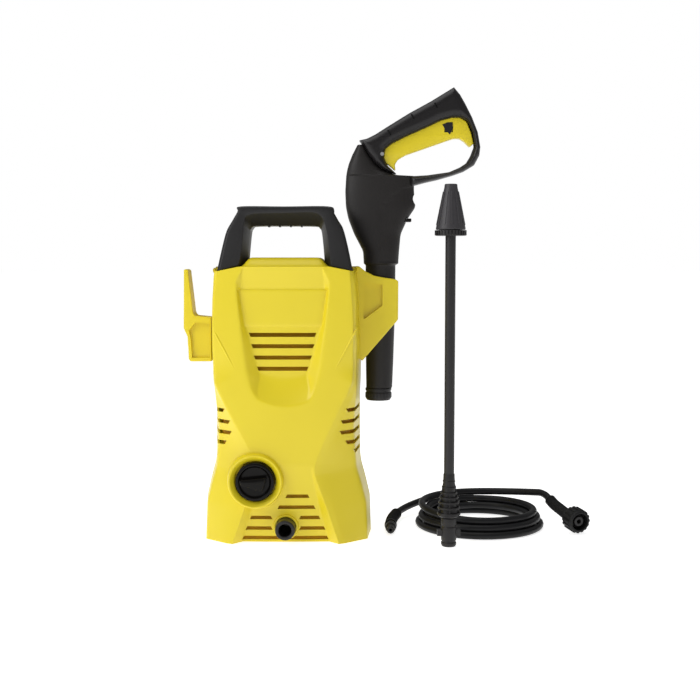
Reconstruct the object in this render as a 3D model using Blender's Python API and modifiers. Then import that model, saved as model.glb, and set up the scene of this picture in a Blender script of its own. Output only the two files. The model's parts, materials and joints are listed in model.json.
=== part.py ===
"""Compact upright pressure washer with its trigger gun, lance and coiled hose.

Sizes are in millimetres; add_object() turns them into metres. The washer's centre line is x = y = 0
while it is modelled, the front is -Y, and the floor is z = 0. The last step moves everything so that
the origin lies under the middle of the washer, gun and lance together.
"""
import math

import bmesh
import bpy
from mathutils import Vector

MM = 0.001
GAP = 0.3                      # air left between neighbours that touch

# casing
BODY_TOP = 370.0
SPINE_TOP = BODY_TOP + 12              # raised middle of the top, between the handle's posts
SPINE_HALF = 49.0
BODY_FRONT = -88.0
BODY_BACK = 88.0
WALL = 3.0
PARTING = 0.5                  # half of the gap between the two casing halves
SCOOP_DEPTH = 12.0
FLOOR_DEPTH = 14.0             # lower recess
# height, half-width at the parting plane, front corner x, y, panel edge x, recess rim x, recess
# floor x, recess depth
FRONT_ROWS = [
    (0, 116, 110, -55, 73, 70, 58, FLOOR_DEPTH),
    (51, 114.5, 108, -54, 56, 53, 45, FLOOR_DEPTH * 0.52),
    (99, 102, 95, -56, 41, 37, 33, FLOOR_DEPTH * 0.07),
    (110, 100.5, 94, -57, 41, 37, 33, 0),
    (154, 100, 91, -58, 61, 37, 30, 0),
    (186, 100, 93, -65, 77, 36, 28, 0),
    (197, 100, 94, -67, 83, 38, 33, SCOOP_DEPTH * 0.6),
    (217, 101, 95, -73, 91, 45, 33, SCOOP_DEPTH),
    (BODY_TOP - 104, 102, 96, -77, 92, 53, 42, SCOOP_DEPTH * 0.9),
    (BODY_TOP - 44, 99, 95, -79, 92, 60, 56, SCOOP_DEPTH * 0.65),
    (BODY_TOP - 28, 98, 94, -79, 90, 61, 54, SCOOP_DEPTH * 0.6),
    (BODY_TOP, 96, 91, -76, 87, 54, 50, 0.5),
]
SLOT_HEIGHT = 5.5
SCOOP_SLOTS = [(279.8, 43.7), (264.7, 41.0), (249.5, 37.6), (234.6, 33.2)]     # z, half-length
FLOOR_SLOTS = [(64.3, 1, 31), (49.0, -10, 38), (34.5, -47, 45), (19.7, -52, 52)]  # z, x from, to
SIDE_VENT_Z = [179, 163.3, 148.5, 134.3]
SIDE_VENT_EXTRA = 121          # the right side has one more
REAR_VENT_Z = [180 + 22 * n for n in range(5)]

# handle
HANDLE_FRONT = -80.0
HANDLE_DEPTH = 60.0
HANDLE_OUTER = [(91, 0), (80, 46), (68, 70), (60, 79)]       # z above the casing's top
HANDLE_INNER = [(40, 53.6), (48, 46), (51, 16), (52, 0)]

# on-off knob
KNOB_X, KNOB_Z = -39.8, 86.0
KNOB_R = 26.0
KNOB_PROUD = 12.0
BEZEL_R = KNOB_R + 10.2
BEZEL_PROUD = 8.0
KNOB_SHAFT_R = 4.0
RUNNING = 0.3                  # clearance of a pin in its hole

# high-pressure outlet and water inlet
OUTLET_Z = 22.0
OUTLET_R = 13.2
OUTLET_BORE_R = OUTLET_R - 5.2
OUTLET_FRONT = BODY_FRONT - 13
OUTLET_LENGTH = 46.0
INLET_X, INLET_Z = 34.0, 34.0
INLET_R = 13.0
INLET_END = BODY_BACK + 16
INLET_LENGTH = 44.0
COUPLING_R = INLET_R + 6
GLAND_X, GLAND_Z = -55.0, 40.0

# pump and motor, both upright
PUMP_Y = -18.0
PUMP_R = 36.0
HEAD_BASE, HEAD_TOP = 8.0, 40.0
BLOCK_TOP = 80.0
PISTON_R = 7.0
PISTON_RING = 20.0
PISTONS = 3
SWASH_ANGLE = math.radians(8)
SWASH_R = 27.0
GEAR_MODULE = 1.5625
GEAR_TEETH, PINION_TEETH = 36, 12
GEAR_Z, GEAR_WIDTH = 107.0, 10.0
MOTOR_Y = PUMP_Y + GEAR_MODULE * (GEAR_TEETH + PINION_TEETH) / 2
CASE_BASE, CASE_TOP = 84.0, 126.0
CASE_R = 40.0
SHAFT_R = 4.0
BEARING_R = 10.7
STATOR_BASE, STATOR_TOP = 142.0, 198.0
STATOR_R, STATOR_BORE_R = 42.0, 23.0
MOTOR_TOP = 226.0

# holders on the sides
SIDE_FACE = 102.6              # where the holders' plates meet the casing
HOLDER_SOCKET_R = 8.0
HOLDER_X, HOLDER_Y = -118.5, -20.0

# gun, drawn for a casing 370 high
HANG_RISE = BODY_TOP - 370.0   # the gun and the holders keep their distance from the casing's top
GUN_X, GUN_Y = 128.0, -10.0
BARREL_R = 20.5
BARREL_SEAT = 371.5
# height, left, right and half-thickness of the gun's body
GUN_ROWS = [
    (203, GUN_X - BARREL_R + 1, GUN_X + BARREL_R - 4, BARREL_R - 2.5),
    (241, GUN_X - BARREL_R + 0.5, GUN_X + BARREL_R - 2.5, BARREL_R - 1.5),
    (318, GUN_X - BARREL_R, GUN_X + BARREL_R - 0.2, BARREL_R),
    (BARREL_SEAT, GUN_X - BARREL_R, GUN_X + BARREL_R, BARREL_R),
    (BARREL_SEAT + 2.5, GUN_X - BARREL_R - 2.5, GUN_X + BARREL_R + 3.8, BARREL_R + 2.5),
    (391, GUN_X - BARREL_R - 3.5, GUN_X + BARREL_R + 4.9, BARREL_R + 2), (414, 91.8, 155.5, 21), (435, 83.7, 165, 20), (451, 80.4, 175.9, 19),
    (472, 79.5, 173.6, 18), (493, 80.8, 173.6, 17), (494.2, 81, 149, 17), (496.3, 81.3, 140.5, 16.5),
    (500.6, 82, 129, 16), (508.5, 84, 118.8, 15.5), (521.3, 89, 108.8, 15), (534.5, 95.8, 100.8, 14),
]
GRIP_HALF = 16.0
GRIP_OUTER = [(98.6, 541), (109.2, 543.4), (120.8, 549.2), (135.4, 558.5), (165.9, 577.2),
              (196.3, 593.7), (226.9, 612.6), (235.4, 602.3), (242.1, 590.8), (251.7, 572.2),
              (259.8, 552), (263.6, 531.9), (262.3, 520.3), (255.1, 507.3), (240.6, 498.7),
              (226, 493.6), (205.6, 487.8), (189.6, 484.2), (174, 479.5)]
GRIP_INNER = [(174, 493), (191.6, 494), (221.1, 498.2), (235.8, 504.6), (244.6, 510.5), (250.5, 520.2),
              (255, 533), (252, 551), (245, 566), (235, 570.5), (224, 570.5), (209, 566.5),
              (192.5, 558.5), (165.2, 546.5), (143.6, 536), (134.5, 528.5), (133, 517.4),
              (137.5, 507), (147, 498), (150, 495.2), (141.2, 497), (129.6, 501.4), (119.4, 509.2),
              (109.4, 522), (101.2, 537.2)]
TRIGGER_HALF = 7.0
TRIGGER_TOP = [(148, 500), (137.9, 508.5), (124.5, 515), (123, 522), (127, 528), (134.9, 532),
               (143.6, 538), (165.2, 549), (192.5, 561), (209.7, 568.5), (224.1, 573), (234.1, 572.5),
               (244.4, 566), (250.6, 551), (254.1, 536.5)]
TRIGGER_UNDER = [(249, 532), (240.8, 539.9), (234.9, 543.6), (227.6, 543.6), (220.3, 541.4),
                 (191, 531.2), (161.7, 521.1), (151.4, 515.2), (147.1, 508)]
TRIGGER_ROOM = [(119.5, 513), (119, 526), (130, 541), (165, 563.5), (192, 575), (209, 583),
                (226, 588.5), (237, 587), (247.5, 573.5), (255, 556), (256.7, 533), (249.5, 523),
                (150, 499.5)]
PIVOT_X, PIVOT_Z = 129.5, 522.0
PIVOT_R = 2.5
LOCK_X, LOCK_Z = 218.0, 556.0
LOCK_SIZE = (7.0, 10.0, 8.0)
LOCK_TRAVEL = 4.0
VALVE_R = 9.0
PORT_Z = 461.0
PORT_R = 7.5
CLIP_X, CLIP_Z = 162.0, 433.0
CLIP_SIZE = (16.0, 18.0, 5.0)
SOCKET_R = 11.2                # takes the lance's bayonet end
SOCKET_BASE = 185.5

# lance
LANCE_X, LANCE_Y = 217.0, -93.0
LANCE_R = 6.9
LANCE_BORE_R = 3.0
BAYONET_R = 10.3
BAYONET_TOP = 38.0
BELL_TOP = 97.0
RING_BASE, RING_TOP = 410.0, 417.5
NOZZLE_TOP = 477.0

# hose
HOSE_R = 5.0
COIL_X, COIL_Y = 271.0, 27.0
COIL_R = 99.0
COIL_BORE_R = 68.0
COIL_TOP = 36.0
SLEEVE_R = 7.5
NUT_R = 17.3
# points from the coil to each end; the sleeve starts at the marked point
RIGHT_ROUTE = [(336, 99, 41.6), (349, 88.5, 41.6), (361, 76, 41.2), (370, 62, 38), (375.5, 49, 33),
               (380, 38, 28), (385, 22, 25), (390.5, 5, 22), (396, -12, 20.3)]
RIGHT_SLEEVE_FROM = 4
LEFT_ROUTE = [(258, 131.5, 22), (243, 132, 21.8), (228, 129, 21), (212, 123, 19.5), (196, 113, 18),
              (180, 96.5, 15.8), (165.5, 77, 13.4), (154, 55, 11), (147, 30, 9.2), (143.8, 6, 8.6), (142.8, -14, 8.6)]
LEFT_SLEEVE_FROM = 7
POINT_STEP = 12.0              # spacing of the tube's points
CURVE_STEPS = 20               # fine steps between two route points

FINISH = {                     # colour, roughness, metallic
    "yellow": ((0.83, 0.56, 0.02), 0.38, 0.0), "black": ((0.022, 0.022, 0.023), 0.45, 0.0),
    "grip": ((0.03, 0.031, 0.033), 0.34, 0.0), "rubber": ((0.016, 0.016, 0.016), 0.62, 0.0),
    "brass": ((0.72, 0.53, 0.22), 0.3, 1.0), "steel": ((0.6, 0.6, 0.61), 0.3, 1.0),
    "alloy": ((0.68, 0.69, 0.7), 0.42, 1.0), "iron": ((0.2, 0.2, 0.21), 0.5, 1.0),
    "copper": ((0.72, 0.33, 0.16), 0.35, 1.0), "white": ((0.8, 0.8, 0.78), 0.45, 0.0),
    "grey": ((0.1, 0.1, 0.105), 0.5, 0.0),
}
UP, FRONT, BACK = (0, 0, 0), (math.pi / 2, 0, 0), (-math.pi / 2, 0, 0)
RIGHT = (0, math.pi / 2, 0)

for old in list(bpy.data.objects):
    bpy.data.objects.remove(old)
parts = bpy.data.collections.new("pressure_washer")
cutters = bpy.data.collections.new("cutters")
for group in (parts, cutters):
    bpy.context.scene.collection.children.link(group)
root = bpy.data.objects.new("washer_origin", None)
parts.objects.link(root)


def add_object(name, data, at=(0, 0, 0), turn=UP, finish=None, parent=None):
    """Place data, drawn in metres, at a point in millimetres; no finish makes it a cutter."""
    piece = bpy.data.objects.new(name, data)
    piece.location = Vector(at) * MM
    piece.rotation_euler = turn
    piece.parent = parent or root
    if finish is None:
        cutters.objects.link(piece)
        piece.hide_render = True
        piece.display_type = "WIRE"
        return piece
    parts.objects.link(piece)
    colour, rough, metal = FINISH[finish]
    material = bpy.data.materials.new(name + "_" + finish)
    material.use_nodes = True
    shader = material.node_tree.nodes["Principled BSDF"]
    shader.inputs["Base Color"].default_value = (*colour, 1)
    shader.inputs["Roughness"].default_value = rough
    shader.inputs["Metallic"].default_value = metal
    data.materials.append(material)
    return piece


def mesh_of(name, shape):
    """Turn a bmesh drawn in millimetres into mesh data in metres."""
    bmesh.ops.scale(shape, vec=(MM, MM, MM), verts=shape.verts)
    mesh = bpy.data.meshes.new(name)
    shape.to_mesh(mesh)
    shape.free()
    return mesh


def box(name, low, high, finish=None, bevel=0):
    size = [b - a for a, b in zip(low, high)]
    shape = bmesh.new()
    bmesh.ops.create_cube(shape, size=1)
    bmesh.ops.scale(shape, vec=size, verts=shape.verts)
    piece = add_object(name, mesh_of(name, shape), [(a + b) / 2 for a, b in zip(low, high)], UP, finish)
    if bevel:
        round_edges(piece, bevel)
    return piece


def round_edges(piece, width, segments=2, angle=40):
    edge = piece.modifiers.new("rounded", "BEVEL")
    edge.width = width * MM
    edge.segments = segments
    edge.limit_method = "ANGLE"
    edge.angle_limit = math.radians(angle)
    return edge


def cylinder(name, radius, length, at, turn=UP, finish=None, sides=20):
    """A cylinder that starts at a point and runs along the turned Z axis."""
    shape = bmesh.new()
    bmesh.ops.create_cone(shape, cap_ends=True, segments=sides, radius1=radius, radius2=radius, depth=length)
    bmesh.ops.translate(shape, vec=(0, 0, length / 2), verts=shape.verts)
    return add_object(name, mesh_of(name, shape), at, turn, finish)


def turned(name, outer, at, turn=UP, finish=None, sides=20, bore=None):
    """Spin a profile of (radius, height), listed down its outer side; bore is (radius, height) up inside."""
    points = list(outer) + list(bore or [])
    shape = bmesh.new()
    verts = [shape.verts.new((r, 0, z)) for r, z in points]
    for a, b in zip(verts, verts[1:]):
        shape.edges.new((a, b))
    if bore:
        shape.edges.new((verts[-1], verts[0]))
    piece = add_object(name, mesh_of(name, shape), at, turn, finish)
    spin = piece.modifiers.new("spin", "SCREW")
    spin.steps = spin.render_steps = sides
    spin.use_merge_vertices = True
    spin.merge_threshold = 1e-5
    return piece


def ring(name, radius, bore, length, at, turn=UP, finish=None, sides=20):
    return turned(name, [(radius, length), (radius, 0)], at, turn, finish, sides, [(bore, 0), (bore, length)])


def plate(name, outline, depth, at, turn=UP, finish=None):
    """A flat outline in the turned XY plane, depth thick and centred on that plane."""
    curve = bpy.data.curves.new(name, "CURVE")
    curve.dimensions = "2D"
    curve.fill_mode = "BOTH"
    curve.extrude = depth / 2 * MM
    line = curve.splines.new("POLY")
    line.points.add(len(outline) - 1)
    for point, (u, v) in zip(line.points, outline):
        point.co = (u * MM, v * MM, 0, 1)
    line.use_cyclic_u = True
    sketch = bpy.data.objects.new(name + "_sketch", curve)
    parts.objects.link(sketch)
    evaluated = sketch.evaluated_get(bpy.context.evaluated_depsgraph_get())
    mesh = bpy.data.meshes.new_from_object(evaluated)
    bpy.data.objects.remove(sketch)
    shape = bmesh.new()
    shape.from_mesh(mesh)
    bmesh.ops.remove_doubles(shape, verts=shape.verts, dist=1e-6)
    bmesh.ops.recalc_face_normals(shape, faces=shape.faces)
    shape.to_mesh(mesh)
    shape.free()
    mesh.name = name
    return add_object(name, mesh, at, turn, finish)


def upright(name, outline, near, depth, finish=None):
    """A plate drawn in x and z whose front face is at y = near."""
    return plate(name, outline, depth, (0, near + depth / 2, 0), FRONT, finish)


def loft(name, rings, finish, at=(0, 0, 0)):
    """A closed solid through rings that all have the same number of points."""
    shape = bmesh.new()
    rows = [[shape.verts.new(p) for p in ring_points] for ring_points in rings]
    count = len(rows[0])
    for low, high in zip(rows, rows[1:]):
        for k in range(count):
            n = (k + 1) % count
            shape.faces.new((low[k], low[n], high[n], high[k]))
    shape.faces.new(list(reversed(rows[0])))
    shape.faces.new(rows[-1])
    bmesh.ops.recalc_face_normals(shape, faces=shape.faces)
    return add_object(name, mesh_of(name, shape), at, UP, finish)


def tube(name, points, radius, finish, sides=2):
    curve = bpy.data.curves.new(name, "CURVE")
    curve.dimensions = "3D"
    curve.bevel_depth = radius * MM
    curve.bevel_resolution = sides
    curve.use_fill_caps = True
    line = curve.splines.new("POLY")
    line.points.add(len(points) - 1)
    for point, place in zip(line.points, points):
        point.co = (*(Vector(place) * MM), 1)
    return add_object(name, curve, (0, 0, 0), UP, finish)


def combine(piece, other, operation):
    step = piece.modifiers.new(other.name, "BOOLEAN")
    step.operation = operation
    step.solver = "EXACT"
    step.object = other
    return piece


def cut(piece, *tools):
    for tool in tools:
        combine(piece, tool, "DIFFERENCE")
    return piece


def fuse(piece, *tools):
    for tool in tools:
        combine(piece, tool, "UNION")
    return piece


def shade(piece, angle=35):
    if piece.type == "MESH":
        piece.data.shade_smooth()
        piece.data.set_sharp_from_angle(angle=math.radians(angle))


def many_boxes(name, boxes):
    """One cutter made of separate boxes, each given by its two corners."""
    shape = bmesh.new()
    for low, high in boxes:
        made = bmesh.ops.create_cube(shape, size=1)["verts"]
        bmesh.ops.scale(shape, vec=[b - a for a, b in zip(low, high)], verts=made)
        bmesh.ops.translate(shape, vec=[(a + b) / 2 for a, b in zip(low, high)], verts=made)
    return add_object(name, mesh_of(name, shape))


def bent_sheet(name, rows, parting, finish):
    """A sheet over rows of points from +X round to -X, closed above and below to the parting plane."""
    shape = bmesh.new()
    grid = [[shape.verts.new(p) for p in row] for row in rows]
    for low, high in zip(grid, grid[1:]):
        for k in range(len(low) - 1):
            shape.faces.new((low[k], low[k + 1], high[k + 1], high[k]))
    for row, order in ((grid[0], -1), (grid[-1], 1)):
        edge = [row[0]] + [shape.verts.new((v.co.x, parting, v.co.z)) for v in row[1:-1]] + [row[-1]]
        for k in range(len(row) - 1):
            corners = [row[k], row[k + 1], edge[k + 1], edge[k]][::order]
            shape.faces.new([v for n, v in enumerate(corners) if v not in corners[:n]])
    face = grid[1][len(grid[1]) // 2].link_faces[0]
    face.normal_update()
    if face.normal.y * parting < 0:
        bmesh.ops.reverse_faces(shape, faces=shape.faces)
    sheet = add_object(name, mesh_of(name, shape), (0, 0, 0), UP, finish)
    wall = sheet.modifiers.new("wall", "SOLIDIFY")
    wall.thickness = WALL * MM
    wall.offset = -1
    wall.use_even_offset = True
    return sheet


def front_row(z, side, corner_x, corner_y, panel, rim, floor, depth):
    """One level of the front casing half, from +X round to -X."""
    half = [(side, -PARTING), (corner_x, corner_y), (panel, BODY_FRONT), (rim, BODY_FRONT),
            (floor, BODY_FRONT + depth)]
    right = [(x, y, z) for x, y in half]
    return right + [(0, BODY_FRONT + depth, z)] + [(-x, y, z) for x, y in reversed(half)]


def front_shell():
    rows = [front_row(*row) for row in FRONT_ROWS]
    shell = bent_sheet("front_shell", rows, -PARTING, "yellow")
    # the raised spine between the handle's posts, and the bezel around the knob
    spine = box("front_spine", (-SPINE_HALF, BODY_FRONT + 14, BODY_TOP - 2), (SPINE_HALF, -PARTING, SPINE_TOP))
    round_edges(spine, 3)
    boss = -FLOOR_DEPTH - 1.5
    bezel = turned("bezel", [(0, BEZEL_PROUD), (BEZEL_R - 2, BEZEL_PROUD), (BEZEL_R, BEZEL_PROUD - 2),
                             (BEZEL_R, boss), (0, boss)], (KNOB_X, BODY_FRONT, KNOB_Z), FRONT, None, 24)
    collar = cylinder("outlet_collar", OUTLET_R + 5, FLOOR_DEPTH - 4,
                      (0, BODY_FRONT + FLOOR_DEPTH + 1, OUTLET_Z), FRONT)
    fuse(shell, spine, bezel, collar)
    holes = [cylinder("knob_hole", KNOB_R + 0.8, 40, (KNOB_X, BODY_FRONT + 24, KNOB_Z), FRONT, None, 24),
             cylinder("outlet_hole", OUTLET_R + GAP, 60, (0, BODY_FRONT + 40, OUTLET_Z), FRONT)]
    slots = [((-half, -100, z - SLOT_HEIGHT / 2), (half, -60, z + SLOT_HEIGHT / 2)) for z, half in SCOOP_SLOTS]
    for z, low, high in FLOOR_SLOTS:
        spans = [(low, high)] if z > OUTLET_Z + OUTLET_R + 9 else [(low, -22), (22, high)]
        slots += [((a, -100, z - 2.6), (b, -60, z + 2.6)) for a, b in spans]
    for side, levels in ((1, SIDE_VENT_Z + [SIDE_VENT_EXTRA]), (-1, SIDE_VENT_Z)):
        for z in levels:
            xs = sorted((side * 80, side * 110))
            slots.append(((xs[0], -76, z - 2.7), (xs[1], -28, z + 2.7)))
    cut(shell, *holes, many_boxes("front_slots", slots))
    shade(shell)


def rear_shell():
    rows = []
    for z, side in [(row[0], row[1]) for row in FRONT_ROWS if row[0] not in (110, 186, 197, BODY_TOP - 28)]:
        half = [(side, PARTING), (side - 3, 58), (side - 15, 80), (side - 36, BODY_BACK)]
        rows.append([(x, y, z) for x, y in half] + [(0, BODY_BACK, z)] + [(-x, y, z) for x, y in reversed(half)])
    shell = bent_sheet("rear_shell", rows, PARTING, "yellow")
    spine = box("rear_spine", (-SPINE_HALF, PARTING, BODY_TOP - 2), (SPINE_HALF, BODY_BACK - 14, SPINE_TOP))
    round_edges(spine, 3)
    fuse(shell, spine)
    vents = [((-45, 70, z - 2.5), (45, 100, z + 2.5)) for z in REAR_VENT_Z]
    holes = [cylinder("inlet_hole", INLET_R + GAP, 40, (INLET_X, 70, INLET_Z), BACK),
             cylinder("gland_hole", 9 + GAP, 40, (GLAND_X, 70, GLAND_Z), BACK)]
    holes += [cylinder("screw_hole", 4.2, 40, (x, 70, z), BACK, None, 16) for x, z in casing_screw_places()]
    cut(shell, *holes, many_boxes("rear_slots", vents))
    shade(shell)


def casing_screw_places():
    return [(x, z) for z in (75, 345) for x in (-52, 52)]


def casing_screws():
    for n, (x, z) in enumerate(casing_screw_places(), 1):
        screw = turned(f"casing_screw_{n}", [(0, 3), (3.9, 3), (3.9, 0), (2, 0), (2, -20), (0, -21)],
                       (x, BODY_BACK - 4, z), BACK, "steel", 12)
        shade(screw)


def carry_handle():
    left = [(-x, z) for x, z in HANDLE_OUTER]
    outline = left + list(reversed(HANDLE_OUTER)) + list(reversed(HANDLE_INNER))
    outline += [(-x, z) for x, z in HANDLE_INNER]
    outline = [(x, BODY_TOP + max(z, GAP)) for x, z in outline]
    handle = upright("carry_handle", outline, HANDLE_FRONT, HANDLE_DEPTH, "black")
    round_edges(handle, 5, 2)
    shade(handle)


def switch():
    knob = turned("switch_knob", [(0, KNOB_PROUD - 3), (KNOB_R - 1.5, KNOB_PROUD - 3), (KNOB_R, KNOB_PROUD - 5),
                                  (KNOB_R, -6), (KNOB_SHAFT_R, -6), (KNOB_SHAFT_R, -24), (0, -24)],
                  (KNOB_X, BODY_FRONT, KNOB_Z), FRONT, "black", 24)
    grip = box("knob_grip", (KNOB_X - KNOB_R + 3, BODY_FRONT - KNOB_PROUD - 7, KNOB_Z - 5),
               (KNOB_X + KNOB_R - 3, BODY_FRONT - KNOB_PROUD + 5, KNOB_Z + 5))
    round_edges(grip, 1.5)
    fuse(knob, grip)
    shade(knob)
    case = box("switch_box", (KNOB_X - 18, -71, KNOB_Z - 20), (KNOB_X + 18, -57, KNOB_Z + 20), "grey", 1)
    cut(case, cylinder("switch_bore", KNOB_SHAFT_R + RUNNING, 10, (KNOB_X, -62, KNOB_Z), FRONT))


def water_fittings():
    length = OUTLET_LENGTH
    outlet = turned("pressure_outlet", [(OUTLET_R - 1, length), (OUTLET_R, length - 1), (OUTLET_R, 0)],
                    (0, OUTLET_FRONT + length, OUTLET_Z), FRONT, "black", 24,
                    [(4, 0), (4, 12), (OUTLET_BORE_R, 16), (OUTLET_BORE_R, length)])
    shade(outlet)
    length = INLET_LENGTH
    inlet = turned("water_inlet", [(INLET_R - 1, length), (INLET_R, length - 1), (INLET_R, 0)],
                   (INLET_X, INLET_END - length, INLET_Z), BACK, "black", 24,
                   [(7, 0), (7, 20), (9, 21), (9, length)])
    shade(inlet)
    inlet_filter = turned("inlet_filter", [(8.6, 16), (8.6, 13), (6, 12), (4, 0)],
                          (INLET_X, INLET_END - 22.5, INLET_Z), BACK, "white", 20, [(2.5, 0), (2.5, 16)])
    shade(inlet_filter)
    coupling = turned("inlet_coupling", [(10, 22), (12, 20), (COUPLING_R, 8), (COUPLING_R, -10)],
                      (INLET_X, INLET_END, INLET_Z), BACK, "grey", 24,
                      [(INLET_R + GAP, -10), (INLET_R + GAP, 0.5), (7, 3), (7, 22)])
    shade(coupling)
    gland = turned("cord_gland", [(6, 22), (9, 4), (9, -12)], (GLAND_X, BODY_BACK, GLAND_Z), BACK, "rubber", 20,
                   [(4, -12), (4, 22)])
    shade(gland)


def tooth_outline(teeth, half_turn=0):
    """A gear's outline: each tooth narrows from its root to its tip, with backlash at the pitch line."""
    pitch = GEAR_MODULE * teeth / 2
    step = 2 * math.pi / teeth
    points = []
    for n in range(teeth):
        middle = n * step + half_turn * step / 2
        for radius, share in ((pitch - 1.2 * GEAR_MODULE, -0.23), (pitch + 0.7 * GEAR_MODULE, -0.06),
                              (pitch + 0.7 * GEAR_MODULE, 0.06), (pitch - 1.2 * GEAR_MODULE, 0.23)):
            angle = middle + share * step
            points.append((radius * math.cos(angle), radius * math.sin(angle)))
    return points


def pump():
    head = cylinder("pump_head", PUMP_R, HEAD_TOP - HEAD_BASE, (0, PUMP_Y, HEAD_BASE), UP, "alloy", 28)
    boss_end = INLET_END - INLET_LENGTH - GAP
    inlet_boss = cylinder("inlet_boss", 11, boss_end - 9, (INLET_X, boss_end, INLET_Z - 4), FRONT)
    inlet_arm = box("inlet_arm", (0, -8, HEAD_BASE + 8), (INLET_X + 8, 14, HEAD_TOP - 4))
    fuse(head, inlet_boss, inlet_arm)
    face = OUTLET_FRONT + OUTLET_LENGTH + GAP
    cut(head, cylinder("outlet_port", 4, 40, (0, PUMP_Y - 8, OUTLET_Z), FRONT, None, 16),
        box("outlet_face", (-20, PUMP_Y - PUMP_R - 26, 0), (20, face, 50)))
    shade(head)
    block = cylinder("cylinder_block", PUMP_R, BLOCK_TOP - HEAD_TOP - GAP, (0, PUMP_Y, HEAD_TOP + GAP), UP, "alloy", 28)
    for n in range(PISTONS):
        x, y = piston_place(n)
        cut(block, cylinder(f"piston_bore_{n + 1}", PISTON_R + 0.08, 60, (x, y, HEAD_TOP - 5), UP, None, 24))
    shade(block)
    low_swash = GEAR_Z - 6 - SWASH_R * math.tan(SWASH_ANGLE) - 2
    stroke = PISTON_RING * math.tan(SWASH_ANGLE)
    for n in range(PISTONS):
        x, y = piston_place(n)
        top = low_swash - GAP - stroke
        base = HEAD_TOP + 6
        piston = turned(f"piston_{n + 1}", [(0, top - base), (8.5, top - base), (8.5, top - base - 3),
                                            (PISTON_R, top - base - 3.5), (PISTON_R, 0), (0, 0)],
                        (x, y, base), UP, "steel", 24)
        shade(piston)
    swash_gear(low_swash)


def piston_place(n):
    angle = math.pi / 2 + n * 2 * math.pi / PISTONS
    return PISTON_RING * math.cos(angle), PUMP_Y + PISTON_RING * math.sin(angle)


def swash_gear(low_swash):
    gear = plate("swash_gear", tooth_outline(GEAR_TEETH), GEAR_WIDTH, (0, PUMP_Y, GEAR_Z + GEAR_WIDTH / 2), UP, "steel")
    shape = bmesh.new()
    top = GEAR_Z + 1
    bmesh.ops.create_cone(shape, cap_ends=True, segments=28, radius1=SWASH_R, radius2=SWASH_R, depth=1)
    middle = low_swash + SWASH_R * math.tan(SWASH_ANGLE)
    for vert in shape.verts:
        vert.co.z = top if vert.co.z > 0 else middle + vert.co.x * math.tan(SWASH_ANGLE)
    plate_below = add_object("swash_plate", mesh_of("swash_plate", shape), (0, PUMP_Y, 0))
    stub = cylinder("swash_stub", 6, 8, (0, PUMP_Y, GEAR_Z + GEAR_WIDTH - 4), UP, None, 20)
    fuse(gear, plate_below, stub)
    shade(gear, 20)


def stadium(radius, steps=16):
    """Outline around the pump's and the motor's axes, seen from above."""
    points = []
    for centre, start in ((MOTOR_Y, 0), (PUMP_Y, math.pi)):
        for n in range(steps + 1):
            angle = start + math.pi * n / steps
            points.append((radius * math.cos(angle), centre + radius * math.sin(angle)))
    return points


def drive():
    case = plate("gear_case", stadium(CASE_R), CASE_TOP - CASE_BASE, (0, 0, (CASE_TOP + CASE_BASE) / 2), UP, "alloy")
    room = plate("gear_room", stadium(CASE_R - 3.5), CASE_TOP - CASE_BASE, (0, 0, (CASE_TOP + CASE_BASE) / 2 - 5))
    cut(case, room, cylinder("bearing_seat", BEARING_R + GAP, 20, (0, MOTOR_Y, CASE_TOP - 10), UP, None, 28))
    shade(case)
    pinion = plate("motor_pinion", tooth_outline(PINION_TEETH, 1), GEAR_WIDTH, (0, MOTOR_Y, GEAR_Z + GEAR_WIDTH / 2),
                   UP, "steel")
    cut(pinion, cylinder("pinion_bore", SHAFT_R + GAP, 20, (0, MOTOR_Y, GEAR_Z - 5), UP, None, 20))
    shade(pinion, 20)
    for name, z in (("lower_bearing", CASE_TOP - 5), ("upper_bearing", MOTOR_TOP - 6)):
        shade(ring(name, BEARING_R, SHAFT_R + GAP, 5.5, (0, MOTOR_Y, z), UP, "steel", 20))


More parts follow.
